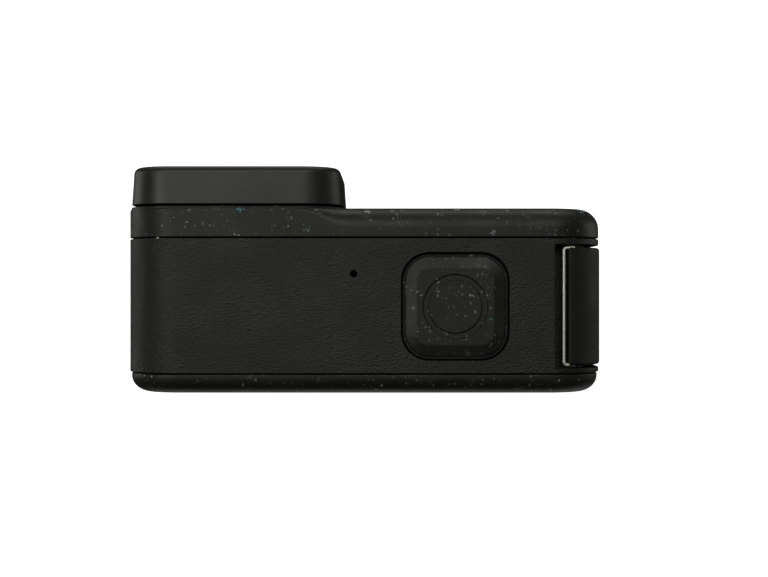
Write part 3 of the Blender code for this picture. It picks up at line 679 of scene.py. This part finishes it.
def door_recess():
    """A cutter for the recess, with rounded ledges in front of it and behind it."""
    front = DOOR.front - DOOR_GAP[0]
    back = DOOR.back + DOOR_GAP[1]
    rim = 0.18
    rounding = [(rim * s, max(rim * c, 0.002)) for s, c in quarter(5)]
    sections = [(front - rim - 0.01, -0.02)]
    sections += [(front - rim + along, inset) for along, inset in rounding]
    sections += [(front + 0.001, RECESS_DEPTH), (back - 0.001, RECESS_DEPTH)]
    sections += [(back + rim - along, inset) for along, inset in reversed(rounding)]
    return stacked(recess_section, sections + [(back + rim + 0.01, -0.02)], "Y")


def shutter_outline(margin):
    half = SHUTTER_WELL - margin
    corner = SHUTTER_CORNER - margin
    x, y = SHUTTER.centre("XY")
    return shrinking(*about(x, half), *about(y, half), corner)


def mode_outline(margin):
    wide = (MODE.back - MODE.front) / 2 + margin
    tall = (MODE.high - MODE.low) / 2 + margin
    y, z = MODE.centre("YZ")
    return shrinking(*about(y, wide), *about(z, tall), wide - 0.05)


def make_main_housing():
    """The housing, hollow inside, with wells for the buttons, the door, the fingers and the insert."""
    sections = edge_out(HOUSING.front - SEAM_CLOSING, -1, SEAM_EDGE)
    sections += edge_in(HOUSING.back + SEAM_CLOSING, 1, SEAM_EDGE, steps=4)
    housing = to_object("main_housing_skin", stacked(body_outline, sections, "Y"))
    inner = HALF - WALL
    ceiling = HEIGHT - WALL
    middle = INSERT.middle("Y")
    reach, half, depth = FINGER_RECESS
    cut(
        housing,
        prism(rounded(-inner, inner, FLOOR, ceiling, (4.75, 4.75, 2.5, 2.5)), "Y", BOSS_BACK, 15),
        prism(rounded(-inner, inner, FLOOR, ceiling, (9, 9, 2.5, 2.5)), "Y", -8, BOSS_BACK + 0.1),
        door_recess(),
        prism(rounded(*OPENING, 1.0, 6), "X", -37, -30.5),
        recess(shutter_outline(0.1), "Z", HEIGHT, SHUTTER_FLOOR, 0.12),
        rod(SHUTTER.centre("XY"), STEM_HOLE, "Z", 47, SHUTTER_FLOOR + 0.5, 48),
        recess(round_outline(TOP_MIC.centre("XY"), MIC_RADIUS, 40), "Z", HEIGHT, 47, 0.06),
        recess(mode_outline(0.2), "X", HALF, MODE_FLOOR, 0.15),
        rod(MODE.centre("YZ"), MODE_HOLE, "X", inner - 1, MODE_FLOOR + 0.5, 48),
        recess(shrinking(-reach, reach, *about(middle, half), half - 0.05), "Z", 0, depth, 0.25),
        rod((0, middle), INSERT.right + 0.15, "Z", 3, INSERT.high + 0.2, 64),
    )
    for z in SPEAKER_SLOTS:
        slot = shrinking(1.2, 6.8, *about(z, 0.4), 0.39, 8, 0.9)
        cut(housing, recess(slot, "X", HALF, inner - 1, 0.12))
    for side in (-1, 1):
        cut(housing, rod((side * PIN_X, PIN_Z), PIN_HOLE, "Y", -4.6, 12.3, 32))
    finished(housing, GRAINED, "body", ("main_housing",))


def make_rear_shell():
    """The shell round the rear screen, set in a little from the housing."""
    depth, width = REAR_FILLET
    sections = edge_out(REAR.front - SEAM_CLOSING, -1, SEAM_EDGE)
    sections += edge_in(REAR.back - REAR_CROWN, 1, depth, width, 14)
    sections = [(y, inset + REAR_STEP) for y, inset in sections] + [(REAR.back, 2 * width)]
    shell = to_object("rear_shell_skin", stacked(body_outline, sections, "Y"))
    light = REAR_LIGHT.centre("XZ")
    cut(
        shell,
        recess(glass_outline(REAR_GLASS, SCREEN_CLEARANCE), "Y", REAR.back, REAR.front - 1, 0.15),
        recess(round_outline(light, LAMP_HOLE, 32), "Y", REAR.back, REAR.front - 1, 0.1),
    )
    finished(shell, SPECKLED, "body", ("rear_shell",))


# --- Screens and lights ---


def make_screen(name, glass, outward, window):
    """Cover glass with a polished edge, and the screen's active area just under its surface."""
    face, back = glass.faces(outward)
    outline = glass_outline(glass, 0)
    sections = edge_out(back, -outward, 0.05) + edge_in(face, outward, 0.2, 0.35)
    pane = to_object(name + "_pane", stacked(outline, sections, "Y"))
    active = shrinking(*window, 0.4, 6, 0)
    cut(pane, prism(active(0), "Y", face - outward * 0.03, face + outward * 0.5))
    finished(pane, SCREEN, "body", (name,), 20)
    area = prism(active(0.02), "Y", face - outward * 0.029, face - outward * 0.004)
    finished(to_object(name + "_active_area", area), ACTIVE, "body")


def make_screens():
    """Both screens, with a border of (sides, bottom, top) round each display, and both lights."""
    screens = (("front_screen_glass", FRONT_GLASS, -1, (2.2, 3.0, 2.4)),
               ("rear_screen_glass", REAR_GLASS, 1, (4.2, 4.2, 4.2)))
    for name, glass, outward, (side, bottom, top) in screens:
        make_screen(name, glass, outward,
                    (glass.left + side, glass.right - side, glass.low + bottom, glass.high - top))
    lamps = (("front_status_light", FRONT_LIGHT, -1), ("rear_status_light", REAR_LIGHT, 1))
    for name, lamp, outward in lamps:
        face, back = lamp.faces(outward)
        outline = round_outline(lamp.centre("XZ"), LAMP_RADIUS, 32)
        sections = edge_out(back, -outward, 0.08) + edge_in(face, outward, 0.15, 0.3, 5)
        guide = to_object(name + "_guide", stacked(outline, sections, "Y"))
        finished(guide, LIGHT, "body", (name,))


# --- Lens ---


def make_lens_cover():
    """The square cover with its sloping sides, its three lugs and its glass."""
    draft = 0.3
    edge = 1.0
    face, back = COVER.front, COVER.back
    outline = lens_square(COVER.right - LENS_X, COVER_CORNER)
    sections = edge_out(back, 1, 0.15)
    sections += [(depth, inset + draft) for depth, inset in edge_in(face, -1, edge, steps=10)]
    cover = to_object("lens_cover_skin", stacked(outline, sections, "Y"))
    glass = COVER_GLASS.right - LENS_X
    groove = ((13.4, back + 1), (15.0, back + 1), (15.0, back - 0.9), (13.4, back - 0.9))
    cone = [(face - 0.5, -0.9), (face, -0.75), (face + 0.35, -0.25), (face + 0.4, -0.12),
            (COVER_GLASS.back + 0.3, -0.12)]
    cut(
        cover,
        rod(LENS_CENTRE, 12.7, "Y", back + 1, COVER_GLASS.back),
        stacked(round_outline(LENS_CENTRE, glass), cone, "Y"),
        turned(groove, LENS_CENTRE, "Y"),
    )
    for turn in range(3):
        angle = 90 + 120 * turn
        outer = arc(*LENS_CENTRE, 12.95, angle - 14, angle + 14, 8)
        inner = arc(*LENS_CENTRE, 12.35, angle + 14, angle - 14, 8)
        join(cover, prism(outer + inner, "Y", back - 1.2, back - 2.0))
    finished(cover, SATIN, "lens_cover", ("lens_cover_frame",))
    sections = edge_out(COVER_GLASS.back, 1, 0.08) + edge_in(COVER_GLASS.front, -1, 0.18, 0.35, 5)
    pane = stacked(round_outline(LENS_CENTRE, glass), sections, "Y")
    finished(to_object("lens_cover_pane", pane), OPTICAL, "lens_cover",
             ("lens_cover_glass",), 20)


def make_lens_barrel():
    """The barrel's stepped, ribbed front ring, which shows through the cover glass."""
    box = Box("lens_barrel")
    outer = box.right - LENS_X
    front, back = box.front, box.back
    profile = [(outer, back), (outer, front + 0.4), (outer - 0.4, front), (outer - 1.3, front),
               (outer - 1.5, front + 0.35)]
    for rib in range(5):
        radius = outer - 1.7 - 0.3 * rib
        depth = front + 0.45 + 0.12 * rib
        profile += [(radius, depth), (radius - 0.15, depth + 0.22), (radius - 0.3, depth)]
    inner = outer - 2.0
    profile += [(inner - 1.2, front + 1.1), (inner, front + 1.25), (inner, back)]
    finished(to_object("lens_barrel_ring", turned(profile, LENS_CENTRE, "Y")), INNER, "body",
             ("lens_barrel",), 25)


def make_lens_elements():
    """Ground glass elements: a strongly domed front one, and two behind it."""
    steps = 16
    for part, sag in (("front", 1.2), ("middle", 0.6), ("rear", 0.9)):
        name = "lens_element_" + part
        box = Box(name)
        radius = box.right - LENS_X
        shares = [step / steps for step in range(steps + 1)]
        dome = [(radius * share, box.front + sag * share**2) for share in shares]
        hollow = [(radius * (1 - share), box.back - 0.5 * share) for share in shares[1:-1]]
        profile = dome + [(radius, box.back)] + hollow + [(0, box.back - 0.5)]
        finished(to_object(name + "_ground", turned(profile, LENS_CENTRE, "Y")), OPTICAL, "body",
                 (name,), 30)


def make_lens_stops():
    """Two blackened stops between the elements, the second of them the aperture."""
    rear = Box("lens_element_rear")
    middle = Box("lens_element_middle")
    front = Box("lens_element_front")
    outer = front.right - LENS_X + 0.25
    stops = (("lens_stop", front, middle, 4.6), ("lens_aperture", middle, rear, 2.3))
    for name, before, behind, opening in stops:
        depth = (before.back + behind.front) / 2
        profile = ((opening, depth - 0.04), (outer, depth - 0.3), (outer, depth + 0.3),
                   (opening, depth + 0.04))
        finished(to_object(name, turned(profile, LENS_CENTRE, "Y")), INNER, "body")


def make_bayonet():
    """The ring that the lens cover twists onto, with its three lugs cut as ramps."""
    box = Box("lens_bayonet_ring")
    outer = box.right - LENS_X
    inner = 10.7
    edge = 0.2
    profile = ((inner, box.back), (inner, box.front + edge), (inner + edge, box.front),
               (outer - edge, box.front), (outer, box.front + edge), (outer, box.back))
    ring = to_object("lens_bayonet_collar", turned(profile, LENS_CENTRE, "Y"))
    for turn in range(3):
        angle = 30 + 120 * turn
        outside = arc(*LENS_CENTRE, outer + 1, angle - 20, angle + 20, 8)
        inside = arc(*LENS_CENTRE, outer - 0.35, angle + 20, angle - 20, 8)
        cut(ring, prism(outside + inside, "Y", box.front - 1, box.front + 1.6))
    finished(ring, INNER, "body", ("lens_bayonet_ring",))


# --- Buttons ---

# The cap's border from its outer edge inwards, as (depth under the top, inset).
SHUTTER_BORDER = ((0.95, 0.0), (0.86, 0.03), (0.8, 0.1), (0.8, 0.22), (0.9, 0.27), (0.9, 0.36),
                  (0.54, 0.42), (0.46, 0.5), (0.10, 1.75), (0.05, 1.9), (0.015, 2.05), (0.0, 2.2))


def make_shutter_button():
    """A flat cap with a sloping border and a ring groove, on a stem."""
    outline = shutter_outline(0.32)
    low = SHUTTER.high - 1.65
    top = SHUTTER.high
    sections = edge_out(low, -1, 0.15)
    sections += [(top - down, inset) for down, inset in SHUTTER_BORDER]
    cap = to_object("shutter_button_cap", stacked(outline, sections, "Z"))
    centre = SHUTTER.centre("XY")
    groove = 0.42
    profile = [(3.84, top + 0.5), (3.84, top)]
    profile += [(3.84 + 0.12 * s, top - groove * c) for s, c in quarter(4)[1:]]
    profile += [(4.74, top - groove), (4.8, top - groove + 0.06), (4.8, top - 0.05), (4.86, top),
                (4.86, top + 0.5)]
    cut(cap, turned(profile, centre, "Z"))
    join(cap, rod(centre, 1.8, "Z", SHUTTER.low, low + 0.5, 48))
    finished(cap, SPECKLED, "shutter_button", ("shutter_button",), 24)


def make_mode_button():
    """A soft oval key, slightly domed, with a shallow dish and a raised bar to feel for."""
    outline = mode_outline(0)
    back = MODE.right - 1.55
    sections = edge_out(back, -1, 0.15) + edge_in(MODE.right - 0.12, 1, 0.45, 0.6)
    sections += [(MODE.right - 0.04, 1.3), (MODE.right, 2.2)]
    key = to_object("mode_button_key", stacked(outline, sections, "X"))
    y, z = MODE.centre("YZ")
    bar = rounded(*about(y, 0.45), *about(z, 2.0), 0.44, 8)
    cut(key, prism(bar, "X", MODE.right - 0.14, MODE.right + 1))
    join(key, rod((y, z), 1.3, "X", MODE.left, back + 0.5, 48))
    finished(key, RUBBER, "mode_button", ("mode_button",), 24)


# --- Side door ---

DOOR_BULGE = 0.15
DOOR_SKIN = 1.3
DOOR_EDGE = 0.45
HINGE_X = -29.75
HINGE_Z = 49.6
LATCH_TRAVEL = 1.3
LATCH_WIDTH = 7.2
LATCH_TOP = 14.0
WIRE_RADIUS = 0.275


def door_outline(inset):
    """The panel in section: it wraps the camera's upper corner and runs down the side."""
    top_x = DOOR.right - inset * 0.7
    low = DOOR.low + inset * 0.7
    outer = CORNER + DOOR_BULGE - inset
    inner = CORNER - DOOR_SKIN
    skin = corner_arc(top_x, outer)[:1] + corner_arc(top_x, outer, 8)
    inside = list(reversed(corner_arc(top_x, inner)[:1] + corner_arc(top_x, inner, 4)))
    path = [(*skin[0], 0.42)] + [(u, v, 0) for u, v in skin[1:]]
    path += [(skin[-1][0], low, 0.6), (inside[0][0], low, 0.2)]
    path += [(u, v, 0) for u, v in inside[:-1]] + [(*inside[-1], 0.2)]
    return softened(path)


def swept(path, radius, steps=16):
    """A round wire through the points of path, its ends closed."""
    points = [Vector(point) for point in path]
    side = Vector((0, 0, 1))
    loops = []
    for index, point in enumerate(points):
        before = points[max(index - 1, 0)]
        after = points[min(index + 1, len(points) - 1)]
        along = (after - before).normalized()
        side = (side - along * side.dot(along)).normalized()
        across = along.cross(side)
        loops.append([point + side * u + across * v for u, v in circle(radius, steps)])
    return loft(loops)


def make_door():
    """The panel with its latch window, the wire it turns on, the plug and the gasket."""
    sections = edge_out(DOOR.front, -1, DOOR_EDGE, 8) + edge_in(DOOR.back, 1, DOOR_EDGE, steps=8)
    panel = to_object("door_panel_skin", stacked(door_outline, sections, "Y"))
    middle = DOOR.middle("Y")
    window = LATCH_WIDTH / 2 + GAP
    top = LATCH_TOP + LATCH_TRAVEL + GAP
    notch = ((-31.8, -30.2), (HINGE_Z - 0.6, HINGE_Z + 0.33))
    cut(
        panel,
        recess(shrinking(*about(middle, window), 3, top, 0.9, 8), "X", -HALF - DOOR_BULGE,
               -34.0, 0.2),
        box_mesh(notch[0], (DOOR.front - 1, DOOR.front + 0.65), notch[1], 0),
        box_mesh(notch[0], (DOOR.back - 0.65, DOOR.back + 1), notch[1], 0),
    )
    finished(panel, RUBBER, "door", ("door_panel",), 28)

    bend = 0.45
    leg = -31.3
    front, back = WIRE.front + WIRE_RADIUS, WIRE.back - WIRE_RADIUS
    corner = HINGE_X - bend
    path = [(leg, front)] + arc(corner, front + bend, bend, 270, 360, 8)
    path += arc(corner, back - bend, bend, 0, 90, 8) + [(leg, back)]
    wire = swept([(x, y, HINGE_Z) for x, y in path], WIRE_RADIUS)
    finished(to_object("door_hinge_rod", wire), WIRE_STEEL, "door", ("door_hinge_wire",), 50)

    box = Box("door_plug")
    plug = to_object("door_plug_body", box_mesh((box.left, box.right), (box.front, box.back),
                                                (box.low, box.high), 0.35))
    cut(
        plug,
        prism(rounded(*about(middle, 5.1), 4, 18.5, 0.5, 6), "X", -35, -33.4),
        prism(rounded(*about(middle, 1.5), 13.4, 22.0, 0.5, 6), "X", -35, -31.95),
        *[prism(rounded(side, side + 4.6, 22.6, 40.4, 0.8, 6), "X", box.right - 0.5, box.right + 1)
          for side in (middle - 5.2, middle + 0.6)],
    )
    finished(plug, INNER, "door", ("door_plug",))

    box = Box("door_gasket")
    outline = shrinking(box.front, box.back, box.low, box.high, 1.2, 8)
    sections = edge_out(box.left, -1, 0.15) + edge_in(box.right, 1, 0.15, steps=4)
    gasket = to_object("door_gasket_ring", stacked(outline, sections, "X"))
    cut(gasket, prism(rounded(box.front + 0.6, box.back - 0.6, box.low + 0.7, box.high - 0.65, 0.6, 8),
                      "X", box.left - 1, box.right + 1))
    finished(gasket, SEAL, "door", ("door_gasket",))


def make_latch():
    """The sliding latch: a tapered tab with grip ribs, its flange and the foot on its spring."""
    middle = LATCH.middle("Y")
    half = LATCH_WIDTH / 2
    low = LATCH.low
    tab = shrinking(*about(middle, half), low, LATCH_TOP, 0.6, 8, 0.5)
    sections = [(-33.95, 0)] + edge_in(LATCH.left, -1, 0.35, steps=6)
    latch = to_object("door_latch_tab", stacked(tab, sections, "X"))
    for rib in range(4):
        z = low + 2.2 + 1.35 * rib
        groove = rounded(*about(middle, half - 0.9), z, z + 0.62, 0.3, 6)
        cut(latch, prism(groove, "X", LATCH.left - 1, LATCH.left + 0.32))
    join(
        latch,
        box_mesh((-34.15, -33.75), about(middle, 4.6), (low + 0.6, LATCH_TOP + 0.4), 0.1),
        box_mesh((-34.1, -32.3), about(middle, 1.2), (LATCH_TOP - 0.1, LATCH_TOP + 0.3), 0.08),
    )
    finished(latch, SATIN, "latch", ("door_latch",))
    turns, per_turn, radius, wire = 5, 24, 0.85, 0.16
    x, foot, top = -33.15, 14.7, 20.2
    coil = []
    for i in range(turns * per_turn + 1):
        angle = 2 * pi * i / per_turn
        coil.append((x + radius * cos(angle), middle + radius * sin(angle),
                     foot + (top - foot) * i / (turns * per_turn)))
    spring = to_object("latch_spring_coil", swept(coil, wire, 10))
    finished(spring, STEEL, "latch", ("latch_spring",), 60)


# --- Base ---

HOLE_REACH = 10.5
HOLE_RADIUS = 2.6
FINGER_WIDTH = 7.5
NOTCH_REACH = 5.2


def make_finger(side):
    """A folding mount finger: rounded all round, with a flared cross hole and a hinge barrel."""
    name = "finger_left" if side < 0 else "finger_right"
    box = Box(name)
    low, high = box.low, box.high
    middle = box.middle("Y")
    hole = PIN_X + HOLE_REACH
    edge = 0.35

    def plan(inset):
        tip = arc(hole, middle, FINGER_WIDTH - inset, -90, 90, 28)
        points = [(-1, middle - FINGER_WIDTH + inset), *tip, (-1, middle + FINGER_WIDTH - inset)]
        return [(side * x, y) for x, y in points]

    finger = to_object(name + "_arm", stacked(plan, edge_out(low, -1, edge) + edge_in(high, 1, edge), "Z"))
    barrel = arc(PIN_X, PIN_Z, (high - low) / 2, 90, 270, 20)
    section = [(side * x, z) for x, z in barrel + [(25, low), (25, high)]]
    centre = (side * hole, middle)
    notch = 4.6
    ends = sorted((-side, side * NOTCH_REACH))
    steps = [("INTERSECT", prism(section, "Y", *about(middle, 9)))]
    cutters = [
        prism(rounded(*ends, *about(middle, notch), 0.6, 8), "Z", low - 1, high + 1),
        recess(round_outline(centre, HOLE_RADIUS, 64), "Z", low, PIN_Z, 0.3),
        recess(round_outline(centre, HOLE_RADIUS, 64), "Z", high, PIN_Z - 0.1, 0.3),
        rod((side * PIN_X, PIN_Z), PIN_HOLE, "Y", *about(middle, 9), 32),
    ]
    combined(finger, steps + [("DIFFERENCE", cutter) for cutter in cutters])
    finished(finger, SATIN, "left_finger" if side < 0 else "right_finger", (name,))


def make_tripod_insert():
    """A threaded bush: 20 threads to the inch, with a chamfered mouth."""
    bore = 3.175
    pitch = 1.27
    crest = 0.32
    low, high = INSERT.low, INSERT.high
    outer = INSERT.right
    roof = high - 0.4
    profile = [(0, roof), (bore, roof)]
    z = roof - 0.2
    while z - pitch > low + 0.5:
        profile += [(bore, z), (bore - crest, z - pitch * 0.42), (bore - crest, z - pitch * 0.55),
                    (bore, z - pitch * 0.97)]
        z -= pitch
    profile += [(bore, low + 0.35), (bore + 0.3, low), (outer - 0.15, low), (outer, low + 0.15),
                (outer, high), (0, high)]
    insert = turned(profile, INSERT.centre("XY"), "Z")
    finished(to_object("tripod_insert_bush", insert), STEEL, "body", ("tripod_insert",))


# --- Parts that keep their CAD shape ---

KEPT = (
    (INNER, 0.15, ("front_display", "rear_display", "battery_bay", "speaker")),
    (SEAL, 0.06, ("shutter_seal", "mode_seal", "lens_cover_seal", "microphone_mesh")),
    (STEEL, 0.06, ("chassis_screw_1", "chassis_screw_2", "chassis_screw_3", "chassis_screw_4",
                   "shutter_switch", "mode_switch", "card_slot", "usb_port",
                   "finger_left_front_pin", "finger_left_back_pin", "finger_right_front_pin",
                   "finger_right_back_pin")),
    (ALUMINIUM, 0.08, ("front_chassis", "front_microphone", "display_frame", "top_microphone")),
    (GOLD, 0.05, ("battery_contacts",)),
    (BOARD, 0.0, ("main_board", "sensor_board")),
    (CHIP, 0.06, ("image_sensor", "processor", "memory_card")),
    (BATTERY, 0.2, ("battery",)),
)


def finish_cad_parts():
    """Gives the parts that keep their CAD shape their materials and small rounded edges."""
    for material, edge, names in KEPT:
        for name in names:
            piece = bpy.data.objects[name]
            if piece.material_slots:
                piece.material_slots[0].link = "OBJECT"
                piece.material_slots[0].material = material
            else:
                piece.data.materials.append(material)
            if edge:
                bevel = piece.modifiers.new("Bevel", "BEVEL")
                bevel.width = edge * MM
                bevel.segments = 2
                bevel.limit_method = "ANGLE"
                bevel.angle_limit = radians(40)


# --- Studio ---

CAMERA_DISTANCE = 0.213  # metres above the top face
CAMERA_LENS = 67.6
CAMERA_PLACE = (-0.0030, 0.0013)  # metres
FLOOR_HEIGHT = -17.0


def make_floor():
    """A white floor under the object, low enough to clear the mount fingers when they are folded out.

    It gives its own light, so it stays white. It casts no shadow and doesn't light the object.
    """
    mesh = bmesh.new()
    bmesh.ops.create_circle(mesh, cap_ends=True, segments=64, radius=900)
    for vert in mesh.verts:
        vert.co.z = FLOOR_HEIGHT
    floor = to_object("floor", mesh)
    recipe = Recipe("table_top", (0.9, 0.9, 0.9), 0.7, Emission_Color=(1, 1, 1, 1), Emission_Strength=1.0)
    floor.data.materials.append(recipe.material)
    floor.visible_diffuse = False
    floor.visible_glossy = False
    floor.visible_shadow = False


def make_world():
    """Pale behind the object, and much dimmer as a light on it."""
    world = bpy.data.worlds.new("studio")
    world.use_nodes = True
    bpy.context.scene.world = world
    nodes = world.node_tree.nodes
    links = world.node_tree.links
    seen = nodes["Background"]
    lit = nodes.new("ShaderNodeBackground")
    for node, colour, strength in ((seen, (0.93, 0.93, 0.93, 1), 1.0), (lit, (0.9, 0.95, 1.0, 1), 0.015)):
        node.inputs["Color"].default_value = colour
        node.inputs["Strength"].default_value = strength
    path = nodes.new("ShaderNodeLightPath")
    mix = nodes.new("ShaderNodeMixShader")
    links.new(path.outputs["Is Camera Ray"], mix.inputs[0])
    links.new(lit.outputs[0], mix.inputs[1])
    links.new(seen.outputs[0], mix.inputs[2])
    links.new(mix.outputs[0], nodes["World Output"].inputs["Surface"])


# Name, place, height of the point that it is aimed at, size and power, in metres and watts, and colour.
# The front, rear and side lights are low. They shine through the floor, for pale rims on dark plastic.
LIGHTS = (
    ("overhead", (0.10, -0.27, 0.65), 0.04, (0.9, 0.34), 2.15, (0.99, 1.0, 0.87)),
    ("edge", (0.32, -0.04, 0.50), 0.04, (0.12, 0.12), 0.2, (0.99, 1.0, 0.90)),
    ("front", (0.0, -0.75, -0.15), 0.04, (0.8, 0.25), 1.6, (0.99, 1.0, 0.90)),
    ("rear", (-0.1, 0.55, -0.50), 0.02, (0.9, 0.4), 0.9, (0.99, 1.0, 0.92)),
    ("lens_side", (0.7, -0.1, -0.22), 0.03, (0.35, 0.5), 0.7, (0.99, 1.0, 0.90)),
    ("door_side", (-0.75, -0.1, -0.22), 0.03, (0.35, 0.5), 0.55, (1.0, 1.0, 0.92)),
)


def make_light(name, location, height, size, power, colour):
    """A rectangular soft light, aimed at the point this high above the origin."""
    data = bpy.data.lights.new(name, "AREA")
    data.shape = "RECTANGLE"
    data.size, data.size_y = size
    data.energy = power
    data.color = colour
    light = bpy.data.objects.new(name, data)
    light.location = location
    aim = Vector((0, 0, height)) - Vector(location)
    light.rotation_euler = aim.to_track_quat("-Z", "Y").to_euler()
    bpy.context.collection.objects.link(light)


def make_studio():
    make_floor()
    make_world()
    for light in LIGHTS:
        make_light(*light)
    camera = bpy.data.objects.new("camera", bpy.data.cameras.new("camera"))
    camera.data.lens = CAMERA_LENS
    camera.data.sensor_width = 36.0
    camera.data.clip_start = 0.005
    camera.location = (*CAMERA_PLACE, HEIGHT * MM + CAMERA_DISTANCE)
    camera.rotation_euler = (0, 0, pi)
    bpy.context.collection.objects.link(camera)
    bpy.context.scene.camera = camera
    bpy.context.scene.view_settings.view_transform = "Standard"


make_front_shell()
make_main_housing()
make_rear_shell()
make_screens()
make_lens_cover()
make_lens_barrel()
make_lens_elements()
make_lens_stops()
make_bayonet()
make_shutter_button()
make_mode_button()
make_door()
make_latch()
make_finger(-1)
make_finger(1)
make_tripod_insert()
finish_cad_parts()
make_studio()
